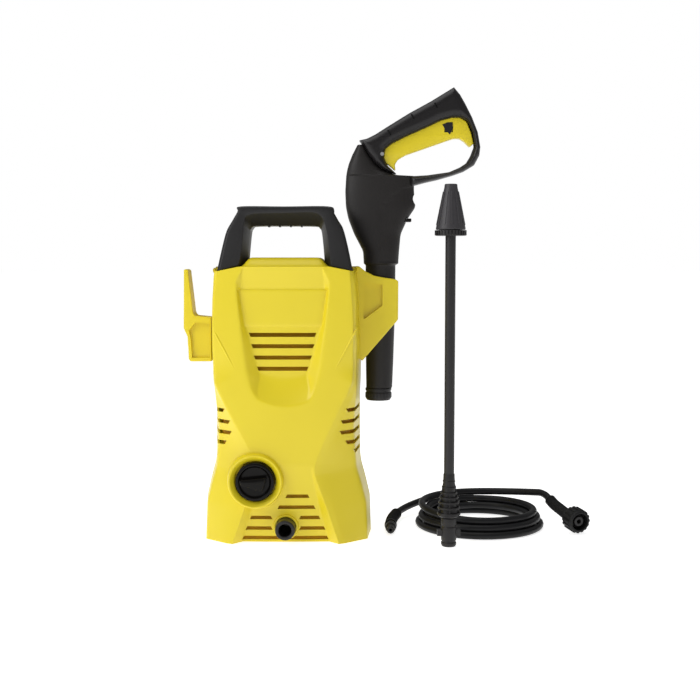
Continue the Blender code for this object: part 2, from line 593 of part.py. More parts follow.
def motor():
    height = STATOR_TOP - STATOR_BASE
    shade(ring("motor_stator", STATOR_R, STATOR_BORE_R, height, (0, MOTOR_Y, STATOR_BASE), UP, "iron", 24))
    base = GEAR_Z - 2
    armature = turned("armature", [(0, MOTOR_TOP + 1 - base), (SHAFT_R, MOTOR_TOP + 1 - base),
                                   (SHAFT_R, STATOR_TOP - base), (STATOR_BORE_R - 1, STATOR_TOP - 4 - base),
                                   (STATOR_BORE_R - 1, STATOR_BASE + 4 - base), (SHAFT_R, STATOR_BASE - base),
                                   (SHAFT_R, 0), (0, 0)], (0, MOTOR_Y, base), UP, "copper", 24)
    shade(armature)
    shade(ring("commutator", 12, SHAFT_R + GAP, 10, (0, MOTOR_Y, STATOR_TOP + 6), UP, "copper", 24))
    blades = []
    for n in range(18):
        radius = 36 if n % 2 == 0 else 13
        blades += [(radius * math.cos(a), radius * math.sin(a)) for a in
                   (2 * math.pi * (n - 0.22) / 18, 2 * math.pi * (n + 0.22) / 18)]
    fan = plate("cooling_fan", blades, 9, (0, MOTOR_Y, CASE_TOP + 7), UP, "grey")
    cut(fan, cylinder("fan_bore", SHAFT_R + GAP, 20, (0, MOTOR_Y, CASE_TOP), UP, None, 20))
    for n, side in enumerate((-1, 1), 1):
        xs = sorted((side * (12 + GAP), side * 30))
        box(f"brush_{n}", (xs[0], MOTOR_Y - 4, STATOR_TOP + 7), (xs[1], MOTOR_Y + 4, STATOR_TOP + 15), "iron", 0.5)
    cap = turned("motor_cap", [(STATOR_R, MOTOR_TOP), (STATOR_R, STATOR_TOP + GAP)], (0, MOTOR_Y, 0), UP, "grey", 24,
                 [(STATOR_R - 4, STATOR_TOP + GAP), (STATOR_R - 4, MOTOR_TOP - 6), (BEARING_R + GAP, MOTOR_TOP - 6),
                  (BEARING_R + GAP, MOTOR_TOP)])
    shade(cap)
    shade(cylinder("capacitor", 13, 44, (-62, 52, 130), UP, "white", 20))
    box("pressure_switch", (44, -60, 44), (64, -40, 76), "grey", 1)


def side_holders():
    hook = upright("side_hook", [(-SIDE_FACE, 241), (-131, 241), (-133.5, 244), (-135, 275), (-140, 286),
                                 (-139.5, 328), (-138.9, 366), (-136.5, 367), (-133.5, 365), (-127, 307),
                                 (-124.5, 303), (-SIDE_FACE, 301)], HOLDER_Y - 18, 36, "yellow")
    round_edges(hook, 1)
    cut(hook, cylinder("holder_socket", HOLDER_SOCKET_R, 120, (HOLDER_X, HOLDER_Y, 200), UP, None, 24))
    shade(hook)
    wide, thick = GUN_X + BARREL_R + 3.5, BARREL_R + 5.5
    holster = upright("gun_holster", [(SIDE_FACE - 5, 371), (106, 364), (118.7, 357.5), (131.4, 355),
                                      (148, 352.5), (wide, 350), (wide, 298), (SIDE_FACE, 241),
                                      (SIDE_FACE, 258)], GUN_Y - thick - 2, 2 * thick, "yellow")
    round_edges(holster, 2)
    cut(holster, cylinder("barrel_bore", BARREL_R + 0.7, 200, (GUN_X, GUN_Y, 200), UP, None, 24),
        box("holster_pocket", (106, GUN_Y - thick - 14, 300), (130, GUN_Y - thick, 346)))
    shade(holster)


def half_ring(z, left, right, thick, side):
    """The D-shaped section of one gun half; its flat side faces the other half."""
    centre, reach = (left + right) / 2, (right - left) / 2
    squareness = 1 if z <= BARREL_SEAT else 0.8
    points = []
    for n in range(9):
        angle = math.pi * n / 8
        points.append((centre + reach * math.cos(angle),
                       GUN_Y + side * (GAP / 2 + (thick - GAP / 2) * math.sin(angle) ** squareness), z))
    return points


def gun_body():
    bore = cylinder("valve_bore", VALVE_R + GAP, 270, (GUN_X, GUN_Y, 200), UP, None, 24)
    port = cylinder("port_bore", PORT_R, 60, (GUN_X + 14, GUN_Y, PORT_Z), RIGHT, None, 20)
    socket = cylinder("socket_bore", 15.6, 20, (125.5, GUN_Y, 200), UP, None, 24)
    x, z = CLIP_X, CLIP_Z
    dx, dy, dz = [s / 2 + 0.4 for s in CLIP_SIZE]
    clip_slot = box("clip_slot", (x - dx, GUN_Y - dy, z - dz), (x + dx + 30, GUN_Y + dy, z + dz))
    for name, side in (("gun_shell_left", -1), ("gun_shell_right", 1)):
        half = loft(name, [half_ring(*row, side) for row in GUN_ROWS], "black")
        cut(half, bore, port, socket, clip_slot)
        shade(half)
    valve = turned("valve_block", [(7, 252), (VALVE_R, 250), (VALVE_R, 0)], (GUN_X, GUN_Y, 214), UP, "brass", 24,
                   [(3, 0), (3, 252)])
    shade(valve)
    collar = turned("bayonet_socket", [(15.3, 18.5), (15.3, 17), (18.2, 16.8), (18.2, 4), (16, 0)],
                    (125.5, GUN_Y, SOCKET_BASE), UP, "black", 22, [(SOCKET_R, 0), (SOCKET_R, 18.5)])
    shade(collar)
    clip = box("hose_clip", (x - CLIP_SIZE[0] / 2, GUN_Y - CLIP_SIZE[1] / 2, z - CLIP_SIZE[2] / 2),
               (x + CLIP_SIZE[0] / 2, GUN_Y + CLIP_SIZE[1] / 2, z + CLIP_SIZE[2] / 2), "black", 0.8)
    shade(clip)


def gun_grip():
    outline = GRIP_OUTER + GRIP_INNER
    grip = upright("gun_grip", outline, GUN_Y - GRIP_HALF, 2 * GRIP_HALF, "grip")
    round_edges(grip, 3, 1)
    room = upright("trigger_room", TRIGGER_ROOM, GUN_Y - TRIGGER_HALF - 0.75, 2 * TRIGGER_HALF + 1.5)
    pin_hole = cylinder("pin_hole", PIVOT_R + GAP, 60, (PIVOT_X, GUN_Y + 30, PIVOT_Z), FRONT, None, 16)
    cut(grip, room, pin_hole)
    shade(grip)
    outline = TRIGGER_TOP + TRIGGER_UNDER
    offset = [(x - PIVOT_X, z - PIVOT_Z) for x, z in outline]
    trigger = plate("gun_trigger", offset, 2 * TRIGGER_HALF, (PIVOT_X, GUN_Y, PIVOT_Z), FRONT, "yellow")
    round_edges(trigger, 1.2, 2)
    dx, dy, dz = [s / 2 for s in LOCK_SIZE]
    cut(trigger, cylinder("trigger_hole", PIVOT_R + GAP, 30, (PIVOT_X, GUN_Y + 15, PIVOT_Z), FRONT, None, 16),
        box("lock_window", (LOCK_X - dx - 0.4, GUN_Y - 20, LOCK_Z - dz - 0.4),
            (LOCK_X + dx + LOCK_TRAVEL + 0.4, GUN_Y + 20, LOCK_Z + dz + 0.4)))
    shade(trigger)
    cylinder("trigger_pin", PIVOT_R, 28, (PIVOT_X, GUN_Y + 14, PIVOT_Z), FRONT, "steel", 16)
    box("trigger_lock", (LOCK_X - dx, GUN_Y - dy, LOCK_Z - dz), (LOCK_X + dx, GUN_Y + dy, LOCK_Z + dz), "grip", 0.6)


def lance():
    at = (LANCE_X, LANCE_Y, 0)
    bayonet = turned("lance_bayonet", [(BAYONET_R, BAYONET_TOP), (BAYONET_R, 3), (BAYONET_R - 1.5, 0)], at, UP, "grey", 24,
                     [(4, 0), (4, BAYONET_TOP)])
    fuse(bayonet, box("bayonet_ears", (LANCE_X - 15.5, LANCE_Y - 4, 14), (LANCE_X - 6, LANCE_Y + 4, 22)),
         box("bayonet_ears_2", (LANCE_X + 6, LANCE_Y - 4, 14), (LANCE_X + 15.5, LANCE_Y + 4, 22)))
    shade(bayonet)
    low = BAYONET_TOP + GAP
    bell = turned("lance_bell", [(7.2, BELL_TOP), (8.7, 88.5), (10.6, 77), (13, 65), (15.2, 53), (16, 47), (15.5, 41),
                                 (12, low)], at, UP, "black", 24,
                  [(4, low), (4, 47.5), (LANCE_R + GAP, 48), (LANCE_R + GAP, BELL_TOP)])
    shade(bell)
    shade(ring("lance_tube", LANCE_R, LANCE_BORE_R, RING_BASE + 4 - 50, (LANCE_X, LANCE_Y, 50), UP, "grey", 20))
    shade(ring("nozzle_ring", 20.8, LANCE_R + GAP, RING_TOP - RING_BASE, (LANCE_X, LANCE_Y, RING_BASE), UP, "black", 22))
    base = RING_TOP + GAP
    housing = turned("nozzle_housing", [(8, NOZZLE_TOP), (8.6, NOZZLE_TOP - 4), (19.4, base + 2), (19.4, base)], at, UP,
                     "black", 22, [(12, base), (12, base + 6), (6.4, NOZZLE_TOP - 14), (4.6, NOZZLE_TOP - 4),
                                   (4.6, NOZZLE_TOP)])
    shade(housing)
    rotor = turned("nozzle_rotor", [(0, 40), (2.5, 40), (5, 30), (9, 6), (9, 2), (0, 2)], (LANCE_X, LANCE_Y, base), UP,
                   "brass", 20)
    shade(rotor)


def smooth_route(points):
    """Evenly spaced points on a smooth curve through a route's own points."""
    places = [Vector(p) for p in points]
    places = [2 * places[0] - places[1]] + places + [2 * places[-1] - places[-2]]
    fine = []
    for a, b, c, d in zip(places, places[1:], places[2:], places[3:]):
        for n in range(CURVE_STEPS):
            t = n / CURVE_STEPS
            fine.append(0.5 * (2 * b + (c - a) * t + (2 * a - 5 * b + 4 * c - d) * t ** 2
                               + (3 * b - a - 3 * c + d) * t ** 3))
    fine.append(places[-2])
    return fine


def spaced(fine, step):
    kept = [fine[0]]
    for point in fine[1:-1]:
        if (point - kept[-1]).length >= step and (point - fine[-1]).length >= step / 2:
            kept.append(point)
    return kept + [fine[-1]]


def split_route(points, sleeve_from):
    """The bare hose and the part inside the bend sleeve, which meet with a gap between them."""
    fine = smooth_route(points)
    place = sleeve_from * CURVE_STEPS
    along = (fine[place + 1] - fine[place - 1]).normalized()
    meet = fine[place]
    bare = spaced(fine[:place - 3], POINT_STEP) + [meet - 2 * along, meet]
    start = [meet + GAP * along, meet + 2 * along]
    finish = (Vector(points[-1]) - Vector(points[-2])).normalized()
    return bare, start + spaced(fine[place + 4:-4], 8.0)[:-1] + [fine[-1] - 2 * finish, fine[-1]]


def aim(direction):
    return Vector(direction).to_track_quat("Z", "Y").to_euler()


def hose():
    ring("hose_coil", COIL_R, COIL_BORE_R, COIL_TOP - GAP, (COIL_X, COIL_Y, GAP), UP, "rubber", 40)
    for side, route, sleeve_from in (("right", RIGHT_ROUTE, RIGHT_SLEEVE_FROM), ("left", LEFT_ROUTE, LEFT_SLEEVE_FROM)):
        bare, sleeved = split_route(route, sleeve_from)
        tube("hose_lead_" + side, bare, HOSE_R, "rubber")
        tube(side + "_bend_sleeve", sleeved, SLEEVE_R, "rubber")
    end, before = Vector(RIGHT_ROUTE[-1]), Vector(RIGHT_ROUTE[-2])
    direction = (end - before).normalized()
    nut = turned("union_nut", [(NUT_R - 4, 24), (NUT_R, 21), (NUT_R, 2), (NUT_R - 3, 0)], end + direction * GAP,
                 aim(direction), "rubber", 22, [(11.5, 0), (11.5, 24)])
    shade(nut)
    nipple = turned("hose_nipple", [(7, 20), (10.5, 18), (10.9, 0)], end + direction * GAP, aim(direction), "black", 24,
                    [(2.2, 0), (2.2, 20)])
    shade(nipple)
    end, before = Vector(LEFT_ROUTE[-1]), Vector(LEFT_ROUTE[-2])
    direction = (end - before).normalized()
    plug = turned("hose_plug", [(4.5, 27), (5.2, 26), (5.2, 12), (7.5, 11), (7.5, 0)], end + direction * GAP,
                  aim(direction), "black", 24, [(2.2, 0), (2.2, 27)])
    shade(plug)


CORD_NODES = {"hose_coil", "hose_lead_left", "hose_lead_right", "left_bend_sleeve", "right_bend_sleeve", "union_nut",
              "hose_nipple", "hose_plug"}


def centre_origin():
    """Move the whole model so that x = y = 0 is the middle of the pieces that aren't on the hose."""
    bpy.context.view_layer.update()
    graph = bpy.context.evaluated_depsgraph_get()
    corners = []
    for piece in parts.objects:
        if piece.type == "MESH" and piece.name not in CORD_NODES:
            shape = piece.evaluated_get(graph)
            corners += [shape.matrix_world @ v.co for v in shape.data.vertices]
    for axis in (0, 1):
        values = [c[axis] for c in corners]
        root.location[axis] = -(min(values) + max(values)) / 2


def raised(make, rise):
    """Run one step and lift everything that it made."""
    before = set(bpy.data.objects)
    make()
    for piece in set(bpy.data.objects) - before:
        piece.location.z += rise * MM


front_shell()
rear_shell()
casing_screws()
carry_handle()
switch()
water_fittings()
pump()
drive()
motor()
for step in (side_holders, gun_body, gun_grip):
    raised(step, HANG_RISE)
lance()
hose()
centre_origin()
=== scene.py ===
import json
import math

import bmesh
import bpy
import numpy as np
from mathutils import Matrix, Vector

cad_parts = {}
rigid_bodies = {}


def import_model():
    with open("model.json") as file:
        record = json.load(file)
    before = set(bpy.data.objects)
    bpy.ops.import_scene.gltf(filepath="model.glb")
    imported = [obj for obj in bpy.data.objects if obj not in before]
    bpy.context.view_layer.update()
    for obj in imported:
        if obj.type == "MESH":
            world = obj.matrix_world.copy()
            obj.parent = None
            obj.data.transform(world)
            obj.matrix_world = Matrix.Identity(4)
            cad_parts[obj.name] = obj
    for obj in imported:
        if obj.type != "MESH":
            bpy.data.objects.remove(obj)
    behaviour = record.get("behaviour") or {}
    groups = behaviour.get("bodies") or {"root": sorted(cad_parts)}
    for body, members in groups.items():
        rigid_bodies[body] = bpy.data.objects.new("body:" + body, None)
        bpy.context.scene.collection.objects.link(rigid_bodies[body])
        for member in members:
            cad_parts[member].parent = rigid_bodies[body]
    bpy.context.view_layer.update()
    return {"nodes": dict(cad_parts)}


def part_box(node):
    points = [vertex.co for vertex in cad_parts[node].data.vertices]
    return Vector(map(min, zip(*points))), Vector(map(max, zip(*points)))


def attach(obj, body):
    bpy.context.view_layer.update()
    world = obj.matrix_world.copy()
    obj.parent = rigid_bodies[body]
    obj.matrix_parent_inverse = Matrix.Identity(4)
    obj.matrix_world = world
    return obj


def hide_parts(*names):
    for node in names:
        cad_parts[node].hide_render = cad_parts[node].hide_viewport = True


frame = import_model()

mm = 0.001

# The washer's own centre line: every place below is in millimetres from it, z from the floor.
bellLow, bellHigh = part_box("lance_bell")
midX = (bellLow[0] + bellHigh[0]) / 2 - 217 * mm
midY = (bellLow[1] + bellHigh[1]) / 2 + 93 * mm


def here(x, y, z):
    return Vector((midX + x * mm, midY + y * mm, z * mm))


# ---- materials: shared effects are node groups, the shader stays in each material ----

def newGroup(name, inputs, outputs):
    tree = bpy.data.node_groups.new(name, "ShaderNodeTree")
    for label, default in inputs:
        socket = tree.interface.new_socket(label, in_out="INPUT", socket_type="NodeSocketFloat")
        socket.default_value = default
    for label in outputs:
        tree.interface.new_socket(label, in_out="OUTPUT", socket_type="NodeSocketFloat")
    return tree, tree.nodes.new("NodeGroupInput"), tree.nodes.new("NodeGroupOutput")


def addNode(tree, kind, **values):
    node = tree.nodes.new(kind)
    for key, value in values.items():
        if hasattr(node, key):
            setattr(node, key, value)
        else:
            node.inputs[key.replace("_", " ")].default_value = value
    return node


def noiseNode(tree, scale, detail, coords, scaleSocket=None):
    """the value of a noise texture on object coordinates"""
    noise = addNode(tree, "ShaderNodeTexNoise", Scale=scale, Detail=detail)
    tree.links.new(coords, noise.inputs["Vector"])
    if scaleSocket:
        tree.links.new(scaleSocket, noise.inputs["Scale"])
    return noise.outputs["Fac"]


def mathNode(tree, operation, a, b=None, clamp=False):
    node = tree.nodes.new("ShaderNodeMath")
    node.operation = operation
    node.use_clamp = clamp
    for socket, value in zip(node.inputs, (a, b)):
        if value is None:
            continue
        if isinstance(value, (int, float)):
            socket.default_value = value
        else:
            tree.links.new(value, socket)
    return node.outputs[0]


def buildGrainGroup():
    """moulded grain: a fine height, a soft blotch and a scuff mask"""
    tree, start, end = newGroup("mouldedGrain", [("Grain Scale", 900.0), ("Blotch Scale", 14.0)],
                                ["Height", "Blotch", "Scuff"])
    coords = tree.nodes.new("ShaderNodeTexCoord").outputs["Object"]
    fine = noiseNode(tree, 900, 3, coords, start.outputs["Grain Scale"])
    blotch = noiseNode(tree, 14, 2, coords, start.outputs["Blotch Scale"])
    streak = noiseNode(tree, 160, 4, coords)
    scuff = mathNode(tree, "MULTIPLY", mathNode(tree, "SUBTRACT", streak, 0.66, True), 6, True)
    tree.links.new(fine, end.inputs["Height"])
    tree.links.new(blotch, end.inputs["Blotch"])
    tree.links.new(scuff, end.inputs["Scuff"])
    return tree


def buildEdgeGroup():
    """a worn rim where the surface turns sharply"""
    tree, start, end = newGroup("rimWear", [("From", 0.52), ("Gain", 6.0)], ["Mask"])
    bend = tree.nodes.new("ShaderNodeNewGeometry").outputs["Pointiness"]
    raised = mathNode(tree, "SUBTRACT", bend, start.outputs["From"])
    mask = mathNode(tree, "MULTIPLY", raised, start.outputs["Gain"], True)
    tree.links.new(mask, end.inputs["Mask"])
    return tree


grainGroup = buildGrainGroup()
rimGroup = buildEdgeGroup()


def mouldedMaterial(name, colour, shift, rough, grain=900, bump=0.05, coat=0.0, metal=0.0, rim=0.0,
                    roughSpread=0.08,
                    specular=0.5):
    """plastic, rubber or metal with grain, blotches, scuffs and lighter rims; shift is the blotch's colour"""
    material = bpy.data.materials.new(name)
    material.use_nodes = True
    tree = material.node_tree
    shader = tree.nodes["Principled BSDF"]
    surface = tree.nodes.new("ShaderNodeGroup")
    surface.node_tree = grainGroup
    surface.inputs["Grain Scale"].default_value = grain
    mix = tree.nodes.new("ShaderNodeMix")
    mix.data_type = "RGBA"
    mix.inputs["A"].default_value = (*colour, 1)
    mix.inputs["B"].default_value = (*shift, 1)
    tree.links.new(surface.outputs["Blotch"], mix.inputs["Factor"])
    colourOut = mix.outputs["Result"]
    if rim:
        worn = tree.nodes.new("ShaderNodeGroup")
        worn.node_tree = rimGroup
        lighter = tree.nodes.new("ShaderNodeMix")
        lighter.data_type = "RGBA"
        lighter.inputs["B"].default_value = (*[min(1, c * 1.5 + 0.02) for c in colour], 1)
        tree.links.new(mathNode(tree, "MULTIPLY", worn.outputs["Mask"], rim), lighter.inputs["Factor"])
        tree.links.new(colourOut, lighter.inputs["A"])
        colourOut = lighter.outputs["Result"]
    tree.links.new(colourOut, shader.inputs["Base Color"])
    spread = mathNode(tree, "MULTIPLY", surface.outputs["Blotch"], roughSpread)
    scuffed = mathNode(tree, "MULTIPLY", surface.outputs["Scuff"], 0.12)
    total = mathNode(tree, "ADD", mathNode(tree, "ADD", spread, scuffed), rough - roughSpread / 2, True)
    tree.links.new(total, shader.inputs["Roughness"])
    shader.inputs["Metallic"].default_value = metal
    shader.inputs["Coat Weight"].default_value = coat
    shader.inputs["Coat Roughness"].default_value = 0.15
    shader.inputs["Specular IOR Level"].default_value = specular
    relief = tree.nodes.new("ShaderNodeBump")
    relief.inputs["Strength"].default_value = bump
    relief.inputs["Distance"].default_value = 0.0004
    tree.links.new(surface.outputs["Height"], relief.inputs["Height"])
    tree.links.new(relief.outputs["Normal"], shader.inputs["Normal"])
    return material


yellowCasing = mouldedMaterial("yellowCasing", (0.70, 0.56, 0.012), (0.73, 0.59, 0.016), 0.36, 1100, 0.10,
                               rim=0.2)
# a darker orange-brown copy of the casing yellow: painted shade for the louvres and vent walls seen through
# the slots
innerCasing = mouldedMaterial("innerCasing", (0.66, 0.35, 0.012), (0.70, 0.39, 0.016), 0.45, 900, 0.10)
blackHandle = mouldedMaterial("blackHandle", (0.011, 0.0105, 0.011), (0.015, 0.0145, 0.015), 0.40, 800,
                              0.25, rim=0.3, specular=0.3)
blackGun = mouldedMaterial("blackGun", (0.011, 0.0095, 0.009), (0.015, 0.013, 0.0125), 0.50, 700, 0.30,
                           rim=0.25, specular=0.3)
barrelBlack = mouldedMaterial("barrelBlack", (0.005, 0.004, 0.0035), (0.008, 0.0065, 0.006), 0.46, 700,
                              0.25, rim=0.25, specular=0.14)
gripGloss = mouldedMaterial("gripGloss", (0.008, 0.007, 0.0075), (0.011, 0.01, 0.0105), 0.32, 600, 0.12,
                            rim=0.25, specular=0.32)
knobGloss = mouldedMaterial("knobGloss", (0.003, 0.0026, 0.0024), (0.005, 0.0045, 0.004), 0.16, 500, 0.05,
                            specular=0.12)
lanceBlack = mouldedMaterial("lanceBlack", (0.011, 0.010, 0.0105), (0.016, 0.015, 0.0155), 0.42, 600, 0.2,
                             rim=0.3, specular=0.3)
coneBlack = mouldedMaterial("coneBlack", (0.03, 0.028, 0.031), (0.042, 0.039, 0.043), 0.46, 600, 0.2,
                            rim=0.3, specular=0.4)
hoseRubber = mouldedMaterial("hoseRubber", (0.006, 0.006, 0.0068), (0.010, 0.010, 0.011), 0.42, 900, 0.25,
                             specular=0.2)
softRubber = mouldedMaterial("softRubber", (0.008, 0.008, 0.0085), (0.012, 0.012, 0.0125), 0.55, 1200, 0.3,
                             rim=0.35, specular=0.2)
ringRubber = mouldedMaterial("ringRubber", (0.02, 0.018, 0.016), (0.026, 0.024, 0.02), 0.35, 1200, 0.1)
turnedBrass = mouldedMaterial("turnedBrass", (0.72, 0.5, 0.2), (0.78, 0.56, 0.25), 0.28, 400, 0.1, metal=1)
groundSteel = mouldedMaterial("groundSteel", (0.56, 0.56, 0.57), (0.64, 0.64, 0.65), 0.28, 500, 0.1,
                              metal=1)
castAlloy = mouldedMaterial("castAlloy", (0.5, 0.5, 0.51), (0.6, 0.6, 0.61), 0.5, 300, 0.5, metal=1)
laminatedIron = mouldedMaterial("laminatedIron", (0.12, 0.11, 0.1), (0.18, 0.16, 0.15), 0.45, 250, 0.4,
                                metal=1)
woundCopper = mouldedMaterial("woundCopper", (0.62, 0.26, 0.12), (0.72, 0.34, 0.17), 0.32, 350, 0.4,
                              metal=1)
greyPlastic = mouldedMaterial("greyPlastic", (0.05, 0.05, 0.052), (0.07, 0.07, 0.072), 0.5, 600, 0.2)
whitePlastic = mouldedMaterial("whitePlastic", (0.7, 0.7, 0.66), (0.76, 0.75, 0.71), 0.45, 600, 0.2)
print("materials ready")


# ---- making meshes ----

def placeMesh(name, shape, material, body, replaced=(), smoothAngle=35, modifiers=None):
    """shape is a bmesh in metres in the row frame; it becomes one piece riding on a body"""
    mesh = bpy.data.meshes.new(name)
    shape.to_mesh(mesh)
    shape.free()
    piece = bpy.data.objects.new(name, mesh)
    bpy.context.scene.collection.objects.link(piece)
    mesh.materials.append(material)
    if modifiers:
        modifiers(piece)
        bpy.context.view_layer.update()
        evaluated = piece.evaluated_get(bpy.context.evaluated_depsgraph_get())
        finished = bpy.data.meshes.new_from_object(evaluated)
        piece.modifiers.clear()
        piece.data = finished
        if not finished.materials:
            finished.materials.append(material)
    piece.data.shade_smooth()
    piece.data.set_sharp_from_angle(angle=math.radians(smoothAngle))
    dress(piece, body, replaced)
    return piece


def dress(piece, body, replaced=()):
    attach(piece, body)
    if replaced:
        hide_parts(*replaced)


def turnTo(direction):
    return Vector(direction).normalized().to_track_quat("Z", "Y").to_matrix().to_4x4()


def spinShape(profile, origin, direction=(0, 0, 1), sides=64):
    """a turned solid from (radius, height) points in millimetres, from its start round to its end"""
    shape = bmesh.new()
    rings = []
    for radius, height in profile:
        if radius < 1e-6:
            rings.append([shape.verts.new((0, 0, height * mm))] * sides)
        else:
            rings.append([shape.verts.new((radius * mm * math.cos(2 * math.pi * k / sides),
                                           radius * mm * math.sin(2 * math.pi * k / sides), height * mm))
                          for k in range(sides)])
    closed = profile[0][0] > 1e-6 or profile[-1][0] > 1e-6
    pairs = list(zip(rings, rings[1:])) + ([(rings[-1], rings[0])] if closed else [])
    for low, high in pairs:
        for k in range(sides):
            n = (k + 1) % sides
            corners = [low[k], low[n], high[n], high[k]]
            unique = [v for i, v in enumerate(corners) if v not in corners[:i]]
            if len(unique) > 2:
                shape.faces.new(unique)
    bmesh.ops.recalc_face_normals(shape, faces=shape.faces)
    bmesh.ops.transform(shape, matrix=Matrix.Translation(origin) @ turnTo(direction), verts=shape.verts)
    return shape


def bore(radius, depth, origin, direction=(0, 0, 1), sides=64):
    """a round cutter that starts at its origin"""
    return spinShape([(0, 0), (radius, 0), (radius, depth), (0, depth)], origin, direction, sides)


def rounded(profile, radius=1.0, steps=3):
    """the same profile with its corners rounded, closed or not"""
    out = [profile[0]]
    for before, corner, after in zip(profile, profile[1:], profile[2:]):
        b, c, a = (np.array(p, float) for p in (before, corner, after))
        reach = min(radius, np.linalg.norm(b - c) / 2.2, np.linalg.norm(a - c) / 2.2)
        first = c + (b - c) / max(np.linalg.norm(b - c), 1e-9) * reach
        last = c + (a - c) / max(np.linalg.norm(a - c), 1e-9) * reach
        for n in range(steps + 1):
            t = n / steps
            out.append(tuple((1 - t) ** 2 * first + 2 * t * (1 - t) * c + t ** 2 * last))
    return out + [profile[-1]]


def turnedPiece(name, profile, origin, direction, material, body, replaced=(), corner=0.5,
                sides=64):
    """a closed profile with rounded corners, spun and placed"""
    shape = spinShape(rounded(profile, corner), origin, direction, sides)
    return placeMesh(name, shape, material, body, replaced, 30)


def plateShape(outline, near, depth):
    """an outline in x and z, from y = near back by depth"""
    curve = bpy.data.curves.new("sketch", "CURVE")
    curve.dimensions = "2D"
    curve.fill_mode = "BOTH"
    curve.extrude = depth / 2 * mm
    line = curve.splines.new("POLY")
    line.points.add(len(outline) - 1)
    for point, (x, z) in zip(line.points, outline):
        point.co = (x * mm, z * mm, 0, 1)
    line.use_cyclic_u = True
    sketch = bpy.data.objects.new("sketch", curve)
    bpy.context.scene.collection.objects.link(sketch)
    mesh = bpy.data.meshes.new_from_object(sketch.evaluated_get(bpy.context.evaluated_depsgraph_get()))
    bpy.data.objects.remove(sketch)
    shape = bmesh.new()
    shape.from_mesh(mesh)
    bmesh.ops.remove_doubles(shape, verts=shape.verts, dist=1e-7)
    bmesh.ops.recalc_face_normals(shape, faces=shape.faces)
    stand = Matrix.Rotation(math.pi / 2, 4, "X")
    bmesh.ops.transform(shape, matrix=Matrix.Translation(here(0, near + depth / 2, 0)) @ stand,
                        verts=shape.verts)
    return shape


def smoothLine(points, steps=6, closed=True):
    """a smooth outline through its points"""
    pts = [np.array(p, float) for p in points]
    count = len(pts)
    out = []
    for k in range(count if closed else count - 1):
        a, b, c, d = ((pts[(k - 1) % count], pts[k], pts[(k + 1) % count],
                       pts[(k + 2) % count]) if closed else
                      (pts[max(k - 1, 0)], pts[k], pts[k + 1], pts[min(k + 2, count - 1)]))
        for n in range(steps):
            t = n / steps
            out.append(tuple(0.5 * (2 * b + (c - a) * t + (2 * a - 5 * b + 4 * c - d) * t ** 2
                                    + (3 * b - a - 3 * c + d) * t ** 3)))
    return out if closed else out + [tuple(pts[-1])]


def bevelEdges(width, segments=3, angle=40):
    def add(piece):
        edge = piece.modifiers.new("bevel", "BEVEL")
        edge.width = width * mm
        edge.segments = segments
        edge.limit_method = "ANGLE"
        edge.angle_limit = math.radians(angle)
    return add


# ---- floor, light and camera ----
stageSizes = {"cameraBack": 1585.0, "cameraRight": 86.0, "cameraHeight": 376.0, "pitch": 4.41,
              "lens": 58.68,
              "floorReach": 40.0, "floorDrop": 0.6}
# where each soft light aims, then its place, power and width
lightTargets = {"keyLight": (0, 0, 200), "fillLight": (60, 0, 200), "topLight": (60, 0, 100)}
softLights = {"keyLight": ((-1000, -700, 900), 9.5, 0.9), "fillLight": ((1700, -1300, 900), 1.0, 1.8),
              "topLight": ((-100, -100, 2000), 15.0, 1.6)}


def buildStage():
    shape = bmesh.new()
    bmesh.ops.create_grid(shape, x_segments=1, y_segments=1, size=stageSizes["floorReach"])
    mesh = bpy.data.meshes.new("floor")
    shape.to_mesh(mesh)
    shape.free()
    floor = bpy.data.objects.new("floor", mesh)
    bpy.context.scene.collection.objects.link(floor)
    pale = bpy.data.materials.new("paleFloor")
    pale.use_nodes = True
    sheet = pale.node_tree.nodes["Principled BSDF"].inputs
    sheet["Base Color"].default_value = (0.9, 0.9, 0.9, 1)
    sheet["Roughness"].default_value = 0.7
    sheet["Emission Color"].default_value = (1, 1, 1, 1)
    sheet["Emission Strength"].default_value = 0.78
    mesh.materials.append(pale)
    floor.location.z = -stageSizes["floorDrop"] * mm
    world = bpy.data.worlds.new("studio")
    bpy.context.scene.world = world
    world.use_nodes = True
    back = world.node_tree.nodes["Background"]
    back.inputs["Color"].default_value = (1.0, 1.0, 1.0, 1)
    seen = world.node_tree.nodes.new("ShaderNodeLightPath").outputs["Is Camera Ray"]
    strength = mathNode(world.node_tree, "MULTIPLY_ADD", seen, 0.73)
    strength.node.inputs[2].default_value = 0.27
    world.node_tree.links.new(strength, back.inputs["Strength"])
    for name, (place, power, width) in softLights.items():
        light = bpy.data.lights.new(name, "AREA")
        light.energy = power
        light.size = width
        lamp = bpy.data.objects.new(name, light)
        bpy.context.scene.collection.objects.link(lamp)
        lamp.location = here(*place)
        lamp.rotation_euler = (here(*lightTargets[name]) - lamp.location).to_track_quat("-Z",
                                                                                        "Y").to_euler()
    eye = bpy.data.cameras.new("camera")
    eye.lens = stageSizes["lens"]
    camera = bpy.data.objects.new("camera", eye)
    bpy.context.scene.collection.objects.link(camera)
    camera.location = here(stageSizes["cameraRight"], -stageSizes["cameraBack"], stageSizes["cameraHeight"])
    camera.rotation_euler = (math.radians(90 - stageSizes["pitch"]), 0, 0)
    bpy.context.scene.camera = camera
    bpy.context.scene.view_settings.view_transform = "Standard"


buildStage()
print("stage ready")


# ---- geometry trees for the features that repeat ----

def newTree(name, sockets):
    tree = bpy.data.node_groups.new(name, "GeometryNodeTree")
    for label, kind in sockets:
        tree.interface.new_socket(label, in_out="INPUT", socket_type="NodeSocket" + kind)
    tree.interface.new_socket("Geometry", in_out="OUTPUT", socket_type="NodeSocketGeometry")
    return tree, tree.nodes.new("NodeGroupInput"), tree.nodes.new("NodeGroupOutput")


